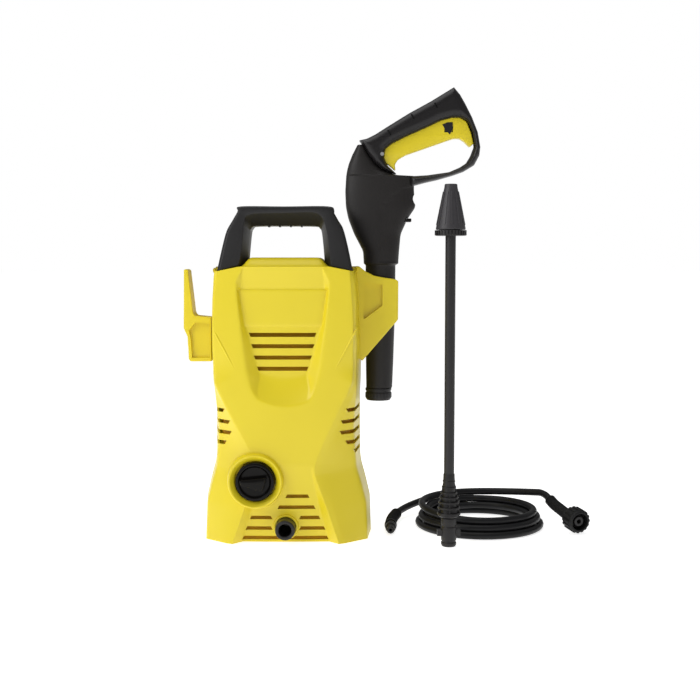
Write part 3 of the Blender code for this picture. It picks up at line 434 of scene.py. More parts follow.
def finishTree(tree, start, end, instances):
    realize = tree.nodes.new("GeometryNodeRealizeInstances")
    paint = tree.nodes.new("GeometryNodeSetMaterial")
    tree.links.new(instances, realize.inputs[0])
    tree.links.new(realize.outputs[0], paint.inputs["Geometry"])
    tree.links.new(start.outputs["Rib Material"], paint.inputs["Material"])
    tree.links.new(paint.outputs[0], end.inputs["Geometry"])


def buildRingTree():
    """small blocks standing on a circle, each leaning by an angle"""
    tree, start, end = newTree("ringOfRibs", [("Count", "Int"), ("Radius", "Float"), ("Size", "Vector"),
                                              ("Lean", "Float"), ("Rib Material", "Material")])
    links = tree.links.new
    circle = tree.nodes.new("GeometryNodeMeshCircle")
    links(start.outputs["Count"], circle.inputs["Vertices"])
    links(start.outputs["Radius"], circle.inputs["Radius"])
    block = tree.nodes.new("GeometryNodeMeshCube")
    links(start.outputs["Size"], block.inputs["Size"])
    face = tree.nodes.new("FunctionNodeAlignRotationToVector")
    face.axis = "X"
    links(tree.nodes.new("GeometryNodeInputPosition").outputs[0], face.inputs["Vector"])
    lean = tree.nodes.new("ShaderNodeCombineXYZ")
    links(start.outputs["Lean"], lean.inputs["Y"])
    euler = tree.nodes.new("FunctionNodeEulerToRotation")
    links(lean.outputs[0], euler.inputs[0])
    turn = tree.nodes.new("FunctionNodeRotateRotation")
    turn.rotation_space = "LOCAL"
    links(face.outputs[0], turn.inputs[0])
    links(euler.outputs[0], turn.inputs[1])
    stand = tree.nodes.new("GeometryNodeInstanceOnPoints")
    links(circle.outputs[0], stand.inputs["Points"])
    links(block.outputs[0], stand.inputs["Instance"])
    links(turn.outputs[0], stand.inputs["Rotation"])
    finishTree(tree, start, end, stand.outputs[0])
    return tree


def buildRowTree():
    """the same block along a straight line"""
    tree, start, end = newTree("rowOfRibs", [("Count", "Int"), ("Step", "Vector"), ("Size", "Vector"),
                                             ("Rib Material", "Material")])
    links = tree.links.new
    line = tree.nodes.new("GeometryNodeMeshLine")
    line.mode = "OFFSET"
    links(start.outputs["Count"], line.inputs["Count"])
    links(start.outputs["Step"], line.inputs["Offset"])
    block = tree.nodes.new("GeometryNodeMeshCube")
    links(start.outputs["Size"], block.inputs["Size"])
    stand = tree.nodes.new("GeometryNodeInstanceOnPoints")
    links(line.outputs[0], stand.inputs["Points"])
    links(block.outputs[0], stand.inputs["Instance"])
    finishTree(tree, start, end, stand.outputs[0])
    return tree


ringTree = buildRingTree()
rowTree = buildRowTree()


def bakeTree(tree, values, base=None):
    """the tree's result as a mesh; values are given by socket name"""
    holder = bpy.data.objects.new("holder", base or bpy.data.meshes.new("holder"))
    bpy.context.scene.collection.objects.link(holder)
    nodes = holder.modifiers.new("ribs", "NODES")
    nodes.node_group = tree
    for item in tree.interface.items_tree:
        if item.item_type == "SOCKET" and item.in_out == "INPUT" and item.name in values:
            nodes[item.identifier] = values[item.name]
    bpy.context.view_layer.update()
    mesh = bpy.data.meshes.new_from_object(holder.evaluated_get(bpy.context.evaluated_depsgraph_get()))
    bpy.data.objects.remove(holder)
    return mesh


def joinMesh(shape, mesh, matrix):
    mesh.transform(matrix)
    shape.from_mesh(mesh)


def addRibs(shape, material, origin, direction, count, radius, size, level=0.0, lean=0.0):
    """a ring of ribs around an axis, in millimetres"""
    mesh = bakeTree(ringTree, {"Count": count, "Radius": radius * mm, "Size": [s * mm for s in size],
                               "Lean": math.radians(lean), "Rib Material": material})
    joinMesh(shape, mesh, Matrix.Translation(origin) @ turnTo(direction) @ Matrix.Translation((0, 0,
                                                                                               level * mm)))


def addRow(shape, material, first, step, count, size):
    mesh = bakeTree(rowTree, {"Count": count, "Step": [s * mm for s in step],
                              "Size": [s * mm for s in size],
                              "Rib Material": material})
    joinMesh(shape, mesh, Matrix.Translation(first))


def blockShape(low, high):
    shape = bmesh.new()
    bmesh.ops.create_cube(shape, size=1)
    lowest, highest = here(*low), here(*high)
    size = highest - lowest
    bmesh.ops.transform(shape, matrix=Matrix.Translation((lowest + highest) / 2) @ Matrix.Diagonal((*size,
                                                                                                    1)),
                        verts=shape.verts)
    return shape


def joinShapes(*shapes):
    whole = bmesh.new()
    for shape in shapes:
        mesh = bpy.data.meshes.new("join")
        shape.to_mesh(mesh)
        shape.free()
        whole.from_mesh(mesh)
        bpy.data.meshes.remove(mesh)
    return whole


def cutWith(piece, shape):
    """takes a shape out of a piece for good"""
    mesh = bpy.data.meshes.new("cutter")
    shape.to_mesh(mesh)
    shape.free()
    tool = bpy.data.objects.new("cutter", mesh)
    bpy.context.scene.collection.objects.link(tool)
    boolean = piece.modifiers.new("cut", "BOOLEAN")
    boolean.operation = "DIFFERENCE"
    boolean.solver = "EXACT"
    boolean.use_self = True
    boolean.object = tool
    bpy.context.view_layer.update()
    finished = bpy.data.meshes.new_from_object(piece.evaluated_get(bpy.context.evaluated_depsgraph_get()))
    piece.modifiers.clear()
    piece.data = finished
    bpy.data.objects.remove(tool)
    finished.shade_smooth()
    finished.set_sharp_from_angle(angle=math.radians(35))


def softened(voxel, passes):
    """fuses overlapping solids and rounds every edge"""
    def add(piece):
        remesh = piece.modifiers.new("fuse", "REMESH")
        remesh.mode = "VOXEL"
        remesh.voxel_size = voxel * mm
        soft = piece.modifiers.new("soften", "SMOOTH")
        soft.factor = 0.5
        soft.iterations = passes
    return add


def gridShape(grid, closedLoop=False, flip=False):
    """quads over an array of places (rows, columns, 3) in washer millimetres"""
    shape = bmesh.new()
    rows, columns = grid.shape[:2]
    verts = [[shape.verts.new(here(*grid[r, c])) for c in range(columns)] for r in range(rows)]
    wide = columns if closedLoop else columns - 1
    for r in range(rows - 1):
        for c in range(wide):
            n = (c + 1) % columns
            corners = [verts[r][c], verts[r + 1][c], verts[r + 1][n], verts[r][n]]
            shape.faces.new(corners[::-1] if flip else corners)
    if closedLoop:
        for loop, back in ((verts[0], not flip), (verts[-1], flip)):
            shape.faces.new(loop[::-1] if back else loop)
    return shape


def pipeShape(points, outer, inner, sides=28):
    """a tube along washer places; outer may be a list, one radius for each place"""
    pts = [here(*p) for p in points]
    outers = list(outer) if hasattr(outer, "__len__") else [outer] * len(pts)
    shape = bmesh.new()
    tangent = (pts[1] - pts[0]).normalized()
    side = tangent.orthogonal().normalized()
    loops = []
    for k, p in enumerate(pts):
        ahead = (pts[min(k + 1, len(pts) - 1)] - pts[max(k - 1, 0)]).normalized()
        side = (side - ahead * side.dot(ahead)).normalized()
        other = ahead.cross(side)
        pair = []
        turns = [2 * math.pi * n / sides for n in range(sides)]
        for radius in (outers[k], inner):
            rim = [side * math.cos(t) + other * math.sin(t) for t in turns]
            pair.append([shape.verts.new(p + around * radius * mm) for around in rim])
        loops.append(pair)
    def strip(a, b):
        for n in range(sides):
            shape.faces.new([a[n], a[(n + 1) % sides], b[(n + 1) % sides], b[n]])
    for low, high in zip(loops, loops[1:]):
        strip(low[0], high[0])
        strip(high[1], low[1])
    strip(loops[0][1], loops[0][0])
    strip(loops[-1][0], loops[-1][1])
    bmesh.ops.recalc_face_normals(shape, faces=shape.faces)
    return shape


def relax(grid, passes):
    """evens out the grid's inner places so every crease gets a small radius"""
    for _ in range(passes):
        inner = grid[1:-1, 1:-1]
        around = (grid[:-2, 1:-1] + grid[2:, 1:-1] + grid[1:-1, :-2] + grid[1:-1, 2:]) / 4
        grid[1:-1, 1:-1] = inner * 0.5 + around * 0.5
    return grid


def ease(value, start, stop):
    t = np.clip((value - start) / (stop - start), 0, 1)
    return t * t * (3 - 2 * t)


def table(rows, z, column=1):
    data = np.array(rows, float)
    return np.interp(z, data[:, 0], data[:, column])


# ---- casing ----
casingSizes = {"wall": 2.8, "top": 370.0, "front": -88.0, "back": 88.0, "parting": 0.2, "scoopShift": -2.5,
               "spineRise": 12.0, "slotHeight": 5.5}
# height, half-width at the parting plane, corner x, corner y
sideRows = [(0, 115.5, 110, -55), (51, 114, 108, -54), (75, 108.5, 102, -55), (99, 102, 95, -56),
            (110, 100.5, 94, -57), (154, 100, 91, -58), (183, 100, 93, -64), (195, 100, 94, -66),
            (213, 101, 95, -72), (266, 102, 96, -77), (326, 99, 95, -79), (356, 97, 93, -79),
            (370, 96, 91, -77)]
creaseRows = [(0, 72), (45, 57), (94, 39.5), (107, 39.5), (120, 44), (135, 51), (153, 60.5), (175, 71.5),
              (182, 75), (200, 84), (217, 91), (230, 92), (295, 92.5), (370, 88)]
rimRows = [(0, 71), (45, 56), (94, 38.3), (107, 38), (150, 37), (186, 36), (197, 38), (208, 42.5),
           (217, 45),
           (234, 48.5), (272, 53.5), (330, 60), (340, 60.5), (350, 62), (361, 55.5), (366, 53.5), (370, 53)]
floorRows = [(0, 58), (38, 47.5), (94, 35.5), (107, 33), (150, 30), (186, 28), (190, 29), (197, 33),
             (208, 35),
             (217, 33), (226, 31), (234.6, 34), (249.5, 38.5), (264.7, 42), (279.8, 46), (291.5, 50.5),
             (340, 58.4),
             (341, 54.5), (361, 53.5), (370, 52)]
# centre height, left end, right end
scoopSlots = [(279.8, -47, 40.4), (264.7, -44, 37.8), (249.5, -40.8, 34.4), (234.6, -36.7, 29.8)]
floorSlots = [(64.3, 0.9, 30.7), (49.0, -9.7, 38.7), (34.5, -47.2, -19), (34.5, 19, 45.1),
              (19.7, -53.2, -19),
              (19.7, 19, 51.9), (6.2, -58, 56)]
sideVents = [(179, 82, 1), (163.3, 75, 1), (148.5, 73.3, 1), (134.3, 81, 1), (179, 82, -1), (163.3, 75, -1),
             (148.5, 73.3, -1), (134.3, 81, -1), (121.5, 91.5, 1)]
# the wall behind each row of side vents, in x and y
linerPlan = [(66, -64), (84, -50), (92.5, -1), (90.5, -1), (82.5, -49), (65, -62)]
knobPlace = (-39.8, 86.0)


def frontDepth(x, z, share):
    """how far the front is sunk at each place; share is 0 at a recess's rim and 1 on its floor"""
    lower = 15 * np.clip(1 - z / 107, 0, 1)
    panel = np.interp(z, [226, 340, 370], [13, 7, 0])
    bottom, arc = 186 + 0.0072 * x ** 2, 223 + 0.0075 * x ** 2
    rise = np.clip((z - bottom) / (arc - bottom), 0, 1)
    ramp = 13.2 * (1 - (1 - rise) ** 1.5)
    scoop = np.minimum(panel, ramp)
    half = np.interp(z, [291.5, 340], [51.5, 58.4]) - 1.2
    beside = np.abs(x - casingSizes["scoopShift"])
    badge = ease(z, 291, 292.4) * (1 - ease(z, 339.2, 340.6)) * (1 - ease(beside, half, half + 1))
    return share * np.where(z < 107, lower, scoop) - 1.4 * badge * share


def ridgeSink(x, z):
    """the shallow facet below the ridge that runs in from each upper edge"""
    across, up = np.abs(x) - 98, z - 295
    below = np.clip(across * 0.883 - up * 0.47, 0, None)
    along = -(across * 0.47 + up * 0.883)
    return 0.17 * below * (1 - ease(along, 48, 78)) * ease(z, 212, 228)


def shoulderDrop(x, z):
    """the top edge falls outwards from the handle's middle and ends in a thin upstanding rim"""
    out = np.abs(x)
    drop = 6.4 * np.clip((out - 60) / 31, 0, 1) * (1 - ease(out, 91.5, 93.5))
    return drop * ease(z, 345, 370)


def sheetRows(step):
    edges = [2, 106, 108, 184, 187, 190, 290.6, 291.3, 292, 292.8, 338.8, 339.5, 340.2, 341, 360.4, 361.2,
             362, 362.8,
             363.6, 364.4, 366, 367.5, 369]
    return np.array(sorted(set(list(np.linspace(0.4, casingSizes["top"], int(370 / step))) + edges)))


def frontGrid():
    z = sheetRows(2.1)
    side, cornerX, cornerY = (table(sideRows, z, n) for n in (1, 2, 3))
    crease, rim, floorX = table(creaseRows, z), table(rimRows, z), table(floorRows, z)
    rim = np.minimum(rim, crease - 0.8)
    floorX = np.minimum(floorX, rim - 0.8)
    shift = casingSizes["scoopShift"] * ease(z, 100, 200)
    stops = [side, cornerX, crease, rim, floorX, np.zeros_like(z)]
    depthAt = [np.full_like(z, -casingSizes["parting"]),
               cornerY] + [np.full_like(z, casingSizes["front"])] * 4
    shareAt = [0, 0, 0, 0, 1, 1]
    counts = [14, 20, 15, 9, 24]
    xs, ys, shares = [], [], []
    for k, count in enumerate(counts):
        for n in range(count):
            t = n / count
            xs.append(stops[k] * (1 - t) + stops[k + 1] * t)
            ys.append(depthAt[k] * (1 - t) + depthAt[k + 1] * t)
            shares.append(shareAt[k] * (1 - t) + shareAt[k + 1] * t)
    right = np.stack([np.array(xs).T, np.array(ys).T], -1)
    left = right[:, ::-1] * (-1, 1)
    middle = np.stack([np.zeros_like(z), np.full_like(z, casingSizes["front"])], -1)[:, None]
    plan = np.concatenate([right, middle, left], 1)
    share = np.array(shares + [1] + shares[::-1])[None].repeat(len(z), 0)
    height = z[:, None].repeat(plan.shape[1], 1)
    near = 1 - ease(np.abs(plan[:, :, 0]), crease[:, None] - 1, crease[:, None] + 8)
    x = plan[:, :, 0] + shift[:, None] * near
    rounding = 4 * np.clip(np.abs(x) / 92, 0, 1) ** 2 * near
    y = plan[:, :, 1] + frontDepth(x, height, share) + ridgeSink(x, height) * (share == 0) * near + rounding
    return np.stack([x, y, height - shoulderDrop(x, height)], -1)


def topRows(edge, parting, count=34):
    """rows that run from the top edge back to the parting plane, with the raised middle"""
    rows = []
    for n in range(1, count + 1):
        t = (n / count) ** 1.6
        row = edge.copy()
        row[:, 1] = edge[:, 1] * (1 - t) + parting * t
        out, back = np.abs(row[:, 0]), np.abs(edge[:, 1] - row[:, 1])
        rise = (1 - ease(out, 45, 59)) * ease(back, 0, 15)
        dip = ease(out, 58, 62) * (1 - ease(out, 88, 91)) * ease(back, 0, 4)
        row[:, 2] = edge[:, 2] + casingSizes["spineRise"] * rise - 0.8 * dip
        rows.append(row)
    return np.stack(rows)


def shellPiece(name, grid, flip, cutters, replaced):
    def thicken(piece):
        wall = piece.modifiers.new("wall", "SOLIDIFY")
        wall.thickness = casingSizes["wall"] * mm
        wall.offset = -1
    piece = placeMesh(name, gridShape(grid, flip=flip), yellowCasing, "washer", replaced,
                      32, thicken)
    cutWith(piece, joinShapes(*cutters))
    return piece


def slotPrism(z, left, right, near, far, height, slant=1.2):
    """a slot with leaning ends; a positive slant makes its top the longer side"""
    half = height / 2
    return plateShape([(left - slant, z + half), (right + slant, z + half), (right - slant, z - half),
                       (left + slant, z - half)], near, far - near)


def bladeShape(low, high, depth, level, lean):
    """a louvre between two x places, leaning back"""
    blade = blockShape((low, -0.6, -4.6), (high, 0.6, 4.6))
    tilt = Matrix.Translation(here(0, depth, level)) @ Matrix.Rotation(math.radians(lean), 4, "X")
    bmesh.ops.transform(blade, matrix=tilt @ Matrix.Translation(-here(0, 0, 0)), verts=blade.verts)
    return blade


def casing():
    grid = frontGrid()
    grid = relax(np.concatenate([grid, topRows(grid[-1], -casingSizes["parting"])]), 3)
    height = casingSizes["slotHeight"]
    cutters = [slotPrism(z, left, right, -100, -64, height) for z, left, right in scoopSlots]
    cutters += [slotPrism(z, left, right, -100, -60, 5.0, -1.2) for z, left, right in floorSlots]
    for z, inner, side in sideVents:
        ends = [(inner - 1.5, z + 2.7), (130, z + 2.7), (130, z - 2.7), (inner + 1.5, z - 2.7)]
        cutters.append(plateShape([(side * x, level) for x, level in ends], -100, 93))
    front = Vector((0, -1, 0))
    cutters.append(bore(27.3, 60, here(knobPlace[0], -50, knobPlace[1]), front))
    cutters.append(bore(13.6, 60, here(0, -50, 22), front))
    shellPiece("frontCasing", grid, False, cutters, ("front_shell",))
    # louvres that close the view through each slot, coloured in painted shade
    blades = [bladeShape(left - 3, right + 3, -66, z - 0.5, -28) for z, left, right in scoopSlots]
    for z, left, right in floorSlots:
        depth = casingSizes["front"] + 15 * (1 - z / 107) + 8
        blades.append(bladeShape(left - 3, right + 3, depth, max(z - 0.5, 5.2), -28))
    placeMesh("frontLouvres", joinShapes(*blades), innerCasing, "washer")
    # a wall inside each row of side vents, coloured in painted shade
    for name, side, low in (("ventWallLeft", -1, 127), ("ventWallRight", 1, 115)):
        shape = plateShape([(side * x, -y) for x, y in linerPlan], 0, 187 - low)
        lift = Matrix.Translation(here(0, 0, low)) @ Matrix.Rotation(math.pi / 2, 4, "X")
        bmesh.ops.transform(shape, matrix=lift @ Matrix.Translation(-here(0, 0, 0)), verts=shape.verts)
        placeMesh(name, shape, innerCasing, "washer")
    # crests that run in from each upper edge
    for name, side in (("crestLeft", -1), ("crestRight", 1)):
        t = np.linspace(0, 1, 24)
        x, z = side * (97 - 31 * t), 292 - 58 * t
        near = casingSizes["front"] + 4 * (np.abs(x) / 92) ** 2 + 9 * np.clip((np.abs(x) - 92) / 5, 0,
                                                                              1) ** 2
        line = np.stack([x, near + 0.4, z], -1)
        shape = pipeShape(line, 0.25 + 1.1 * np.sin(math.pi * t ** 0.8) ** 0.7, 0.1, 12)
        placeMesh(name, shape, yellowCasing, "washer")
    bezel = rounded([(27.4, -14), (27.4, 2), (33.5, 8.5), (35.5, 8.2), (37.5, 0), (38.5, -14), (27.4, -14)],
                    0.8, 4)
    placeMesh("knobBezel", spinShape(bezel, here(knobPlace[0], casingSizes["front"], knobPlace[1]), front,
                                     96),
              yellowCasing, "washer")
    collar = rounded([(13.7, -20), (13.7, -7), (16.5, -7), (18.5, -16), (18.5, -20), (13.7, -20)], 0.8)
    placeMesh("outletCollar", spinShape(collar, here(0, casingSizes["front"], 22), front, 64), yellowCasing,
              "washer")


def rearCasing():
    z = sheetRows(4.0)
    side = table(sideRows, z)
    stops = [side, side - 3, side - 15, side - 36, np.zeros_like(z)]
    depthAt = [casingSizes["parting"], 58, 80, casingSizes["back"], casingSizes["back"]]
    xs, ys = [], []
    for k, count in enumerate((10, 8, 8, 20)):
        for n in range(count):
            t = n / count
            xs.append(stops[k] * (1 - t) + stops[k + 1] * t)
            ys.append(np.full_like(z, depthAt[k] * (1 - t) + depthAt[k + 1] * t))
    right = np.stack([np.array(xs).T, np.array(ys).T], -1)
    middle = np.stack([np.zeros_like(z), np.full_like(z, casingSizes["back"])], -1)[:, None]
    plan = np.concatenate([right, middle, right[:, ::-1] * (-1, 1)], 1)
    x, height = plan[:, :, 0], z[:, None].repeat(plan.shape[1], 1)
    # a shallow panel around the vents and a plain label field below it
    panel = (1 - ease(np.abs(x), 56, 59)) * ease(height, 166, 168.5) * (1 - ease(height, 282, 284.5))
    field = (1 - ease(np.abs(x), 50, 52)) * ease(height, 92, 94) * (1 - ease(height, 140, 142))
    back = np.where(plan[:, :, 1] > 87.9, 1, 0)
    y = plan[:, :, 1] - back * (1.6 * panel + 0.7 * field)
    grid = np.stack([x, y, height], -1)
    grid = relax(np.concatenate([grid, topRows(grid[-1], casingSizes["parting"], 22)]), 2)
    backward = Vector((0, 1, 0))
    cutters = [slotPrism(180 + 22 * n, -44.5, 44.5, 70, 100, 5.0) for n in range(5)]
    for radius, x, z in ((13.4, 34, 34), (9.4, -55, 40),
                         *[(4.3, x, z) for z in (75, 345) for x in (-52, 52)]):
        cutters.append(bore(radius, 50, here(x, 60, z), backward, 40))
    shellPiece("rearCasing", grid, True, cutters, ("rear_shell",))
    # the rear louvres are coloured in painted shade
    blades = [bladeShape(-50, 50, 76, 179.5 + 22 * n, 28) for n in range(5)]
    placeMesh("rearLouvres", joinShapes(*blades), innerCasing, "washer")
    for k, (x, z) in enumerate([(x, z) for z in (75, 345) for x in (-52, 52)]):
        rim = [(5.2, 0), (7.5, 0), (7.5, 0.9), (5.2, 0.9), (5.2, 0)]
        shape = spinShape(rounded(rim, 0.3), here(x, 88, z), backward, 40)
        placeMesh("screwWell" + str(k + 1), shape, yellowCasing, "washer")


casing()
print("front casing made")
rearCasing()
print("rear casing made")

# ---- handle ----
handleSizes = {"front": -80.0, "inner": -58.0, "back": -20.4}
# left to right: outer edge, front face's inner edge, inner wall
handleOuter = [(-89.6, 364.5), (-83, 393), (-76.7, 416), (-69.5, 429), (-61.6, 442.5), (-58.6, 448.8),
               (0, 448.8),
               (59, 448.8), (64.7, 441), (71, 430), (77.3, 419), (84, 393), (89.6, 364.5)]
handleFace = [(-63.6, 370.5), (-59.8, 376), (-55.2, 407), (-53.5, 427), (-45.3, 438.6), (0, 440.4),
              (38.5, 441),
              (49.8, 434), (53.5, 425), (57.2, 407), (60.9, 370.5)]
handleInner = [(-51.5, 370.5), (-50.6, 383), (-47.3, 415), (-44.5, 421), (-39.8, 423.6), (0, 424),
               (40.2, 423.6),
               (45.3, 421), (48.5, 415.3), (51.5, 386.7), (52, 370.5)]


def evenLine(points, count):
    pts = np.array(points, float)
    along = np.concatenate([[0], np.cumsum(np.linalg.norm(np.diff(pts, axis=0), axis=1))])
    at = np.linspace(0, along[-1], count)
    return np.stack([np.interp(at, along, pts[:, k]) for k in (0, 1)], -1)


def handle():
    count = 120
    outer, face, inner = (evenLine(smoothLine(line, 5, False), count) for line in (handleOuter, handleFace,
                                                                                   handleInner))
    front, wall, back = handleSizes["front"], handleSizes["inner"], handleSizes["back"]
    crown = (outer + face) / 2
    loops = []
    for place, y in ((outer, front + 4), (outer * 0.86 + face * 0.14, front + 0.6), (crown, front),
                     (face, front + 0.8),
                     (face * 0.5 + inner * 0.5, (front + wall) / 2 + 1), (inner, wall), (inner, back),
                     (outer, back)):
        loops.append(np.stack([place[:, 0], np.full(count, y), place[:, 1]], -1))
    grid = np.stack(loops, 1)
    shape = gridShape(grid, closedLoop=True)
    bmesh.ops.recalc_face_normals(shape, faces=shape.faces)
    placeMesh("handleArch", shape, blackHandle, "washer", ("carry_handle",), 30,
              bevelEdges(1.6, 3, 25))
    ribs = bmesh.new()
    addRow(ribs, blackHandle, here(-22, -50, 423.6), (14.5, 0, 0), 4, (2.2, 14, 2.4))
    placeMesh("gripRibs", ribs, blackHandle, "washer")


handle()
print("handle made")

# ---- switch knob ----


def knob():
    face = here(knobPlace[0], casingSizes["front"], knobPlace[1])
    profile = [(0, 7.0), (19.5, 7.2), (21.8, 9.2), (25.2, 8.8), (25.9, 6.5), (25.9, -5.8), (4, -5.8),
               (4, -23.8), (0, -23.8)]
    body = spinShape(rounded(profile, 1.0), face, (0, -1, 0), 96)
    x, z = knobPlace
    wedge = [(x - 19.9, z + 4.5), (x + 14.9, z + 8), (x + 13.5, z), (x + 10, z - 12), (x - 18.2, z - 2)]
    bar = plateShape(smoothLine(wedge, 1), -106.6, 14)
    for v in bar.verts:
        if v.co.y < here(0, -104, 0).y:
            lift = 2.2 * mm
            v.co.z += lift * (0.4 if v.co.z < here(0, 0, z - 4).z else -0.4)
    placeMesh("knobGrip", bar, knobGloss, "knob", (), 30, bevelEdges(1.5, 4, 25))
    placeMesh("knobDisc", body, knobGloss, "knob", ("switch_knob",), 30)


knob()

# ---- fittings ----


def fittings():
    front, backward = Vector((0, -1, 0)), Vector((0, 1, 0))
    outlet = [(4, 0), (13.2, 0), (13.2, 45), (12.2, 46), (9.2, 46), (8.4, 45), (8.4, 38), (9, 37), (9, 34),
              (8.1, 33),
              (8.1, 16), (4, 12), (4, 0)]
    turnedPiece("outletSocket", outlet, here(0, -55, 22), front, gripGloss, "washer",
                ("pressure_outlet",), 0.6, 72)
    inlet = [(7, 0), (13, 0), (13, 26), (12.2, 27), (13, 28), (13, 31), (12.2, 32), (13, 33), (13, 43.2),
             (12.3, 44),
             (9.5, 44), (9, 43), (9, 21), (7, 20), (7, 0)]
    turnedPiece("inletStub", inlet, here(34, 60, 34), backward, gripGloss, "washer",
                ("water_inlet",), 0.4, 72)
    coupling = [(13.3, -10), (17.6, -10), (17.6, 8), (12, 20), (10.4, 22), (7.2, 22), (7.2, 3), (13.3, 0.6),
                (13.3, -10)]
    shape = spinShape(rounded(coupling, 0.8), here(34, 104, 34), backward, 72)
    addRibs(shape, greyPlastic, here(34, 104, 34), backward, 28, 17.9, (2.0, 1.7, 15), -1.0)
    placeMesh("inletCollar", shape, greyPlastic, "washer", ("inlet_coupling",), 30)
    # the gland steps down in three rings towards the missing lead
    gland = [(4.1, -12), (9, -12), (9, 0), (10.4, 0.3), (10.4, 3), (8.6, 4.2), (8.2, 8), (7.4, 8.4),
             (7.4, 12),
             (6.8, 12.5), (6.8, 16), (6.2, 16.5), (6.2, 21), (5.6, 22), (4.1, 22), (4.1, -12)]
    turnedPiece("cordGland", gland, here(-55, 88, 40), backward, softRubber, "washer",
                ("cord_gland",),
                0.4, 48)


fittings()
print("knob and fittings made")

# ---- holders on the sides ----
hookOutline = [(-102.6, 241), (-131, 241), (-133.5, 244), (-135, 275), (-140, 286), (-139.5, 328),
               (-138.9, 365.4),
               (-136.5, 366.6), (-133.5, 364.6), (-127, 307), (-124.5, 303), (-102.6, 301)]
holsterOutline = [(93, 370.6), (98.6, 370.2), (106, 364), (118.7, 357.5), (131.4, 355), (148, 352.6),
                  (151.6, 350),
                  (151.4, 298), (102.6, 241.5), (97.5, 246), (97, 300)]


def holders():
    hook = plateShape(hookOutline, -38, 36)
    piece = placeMesh("sideHook", hook, yellowCasing, "washer", ("side_hook",), 50,
                      softened(0.9, 5))
    hollow = plateShape([(-104.5, 246), (-129, 246), (-130.5, 272), (-133, 283), (-124, 294),
                         (-104.5, 292)], -60, 26.5)
    cutWith(piece, joinShapes(hollow, bore(8.1, 200, here(-118.5, -20, 200))))
    holster = plateShape(holsterOutline, -38, 52)
    piece = placeMesh("gunHolster", holster, yellowCasing, "washer", ("gun_holster",), 50,
                      softened(1.0, 6))
    pocket = plateShape([(104.5, 348), (130, 345.5), (130, 317), (106.5, 299.5), (104.5, 299.5)], -60, 28.0)
    cutWith(piece, joinShapes(pocket, bore(21.3, 200, here(128, -10, 200), sides=96)))


holders()
print("holders made")

# ---- gun ----
gunRows = [(203, 108.5, 144.5, 18), (241, 108, 146, 19), (318, 107.5, 148.3, 20.4),
           (371.5, 107.5, 148.5, 20.4),
           (374, 105, 152.3, 23), (391, 104, 153.4, 22.5), (414, 91.8, 155.5, 21), (435, 83.7, 165, 20),
           (451, 80.4, 175.9, 19), (472, 79.5, 173.6, 18), (493, 80.8, 173.6, 17), (494.2, 81, 149, 17),
           (496.3, 81.3, 140.5, 16.5), (500.6, 82, 129, 16), (508.5, 84, 118.8, 15.5),
           (521.3, 89, 108.8, 15),
           (534.5, 95.8, 100.8, 14)]
seamLine = [(374, 125.7), (427, 125.7), (444, 127), (455.6, 132), (467, 143.6), (475.7, 158),
            (478.5, 169.5)]


def gunHalf(name, side, replaced):
    z = np.concatenate([np.arange(203, 371, 2.0), np.linspace(371.2, 374.4, 8), np.arange(375, 534.4, 1.0),
                        [534.5]])
    left, right, thick = (table(gunRows, z, n) for n in (1, 2, 3))
    soft = np.ones(9) / 9
    for line in (left, right, thick):
        body = (z > 374.4) & (z < 488)
        tail = np.concatenate([[line[body][0]] * 4, line[body], [line[body][-1]] * 4])
        line[body] = np.convolve(tail, soft, "valid")
    right = right + 3.2 * ease(z, 493, 497)
    squareness = np.interp(z, [371.5, 374], [1, 0.8])
    columns = 40
    angle = np.linspace(0, math.pi, columns)[None]
    centre, reach = ((left + right) / 2)[:, None], ((right - left) / 2)[:, None]
    x = centre + reach * np.cos(angle)
    bulge = np.clip(np.sin(angle), 0, 1) ** squareness[:, None]
    height = z[:, None].repeat(columns, 1)
    seamX = np.interp(height, [p[0] for p in seamLine], [p[1] for p in seamLine])
    step = 0.9 * ease(x - seamX, -0.9, 0.9) * ease(height, 373,
                                                   377) * (1 - ease(height, 476.5, 479.5)) * bulge
    y = -10 + side * (0.2 + (thick[:, None] - 0.2) * bulge - step)
    shape = gridShape(np.stack([x, y, height], -1), closedLoop=True, flip=side > 0)
    bmesh.ops.recalc_face_normals(shape, faces=shape.faces)
    piece = placeMesh(name, shape, blackGun, "gun", replaced, 30)
    right = Vector((1, 0, 0))
    tools = [bore(9.4, 270, here(128, -10, 200)),
             bore(7.6, 60, here(142, -10, 461), right),
             bore(15.7, 20, here(125.5, -10, 200)),
             blockShape((153.6, -19.4, 430.1), (200, -0.6, 435.9))]
    cutWith(piece, joinShapes(*tools))


gunHalf("gunHalfNear", -1, ("gun_shell_left",))
gunHalf("gunHalfFar", 1, ("gun_shell_right",))
print("gun halves made")

gripOuter = [(98.6, 541), (109.2, 543.4), (120.8, 549.2), (135.4, 558.5), (165.9, 577.2), (196.3, 593.7),
             (226.9, 612.3),
             (235.4, 602.3), (242.1, 590.8), (251.7, 572.2), (259.8, 552), (263.4, 531.9), (262.1, 520.3),
             (255.1, 507.3), (240.6, 498.7), (226, 493.6), (205.6, 487.8), (189.6, 484.2), (168, 478.5)]
gripInner = [(168, 492.6), (191.6, 494), (221.1, 498.2), (235.8, 504.6), (244.6, 510.5), (250.5, 520.2),
             (255, 533),
             (252, 551), (245, 566), (235, 570.5), (224, 570.5), (209, 566.5), (192.5, 558.5),
             (165.2, 546.5),
             (143.6, 536), (134.5, 528.5), (133, 517.4), (137.5, 507), (147, 498), (150, 495.2),
             (141.2, 497),
             (129.6, 501.4), (119.4, 509.2), (109.4, 522), (101.2, 537.2)]
triggerRoom = [(119.5, 513), (119, 526), (130, 541), (165, 563.5), (192, 575), (209, 583), (226, 588.5),
               (237, 587),
               (247.5, 573.5), (255, 556), (256.7, 533), (249.5, 523), (150, 499.5)]
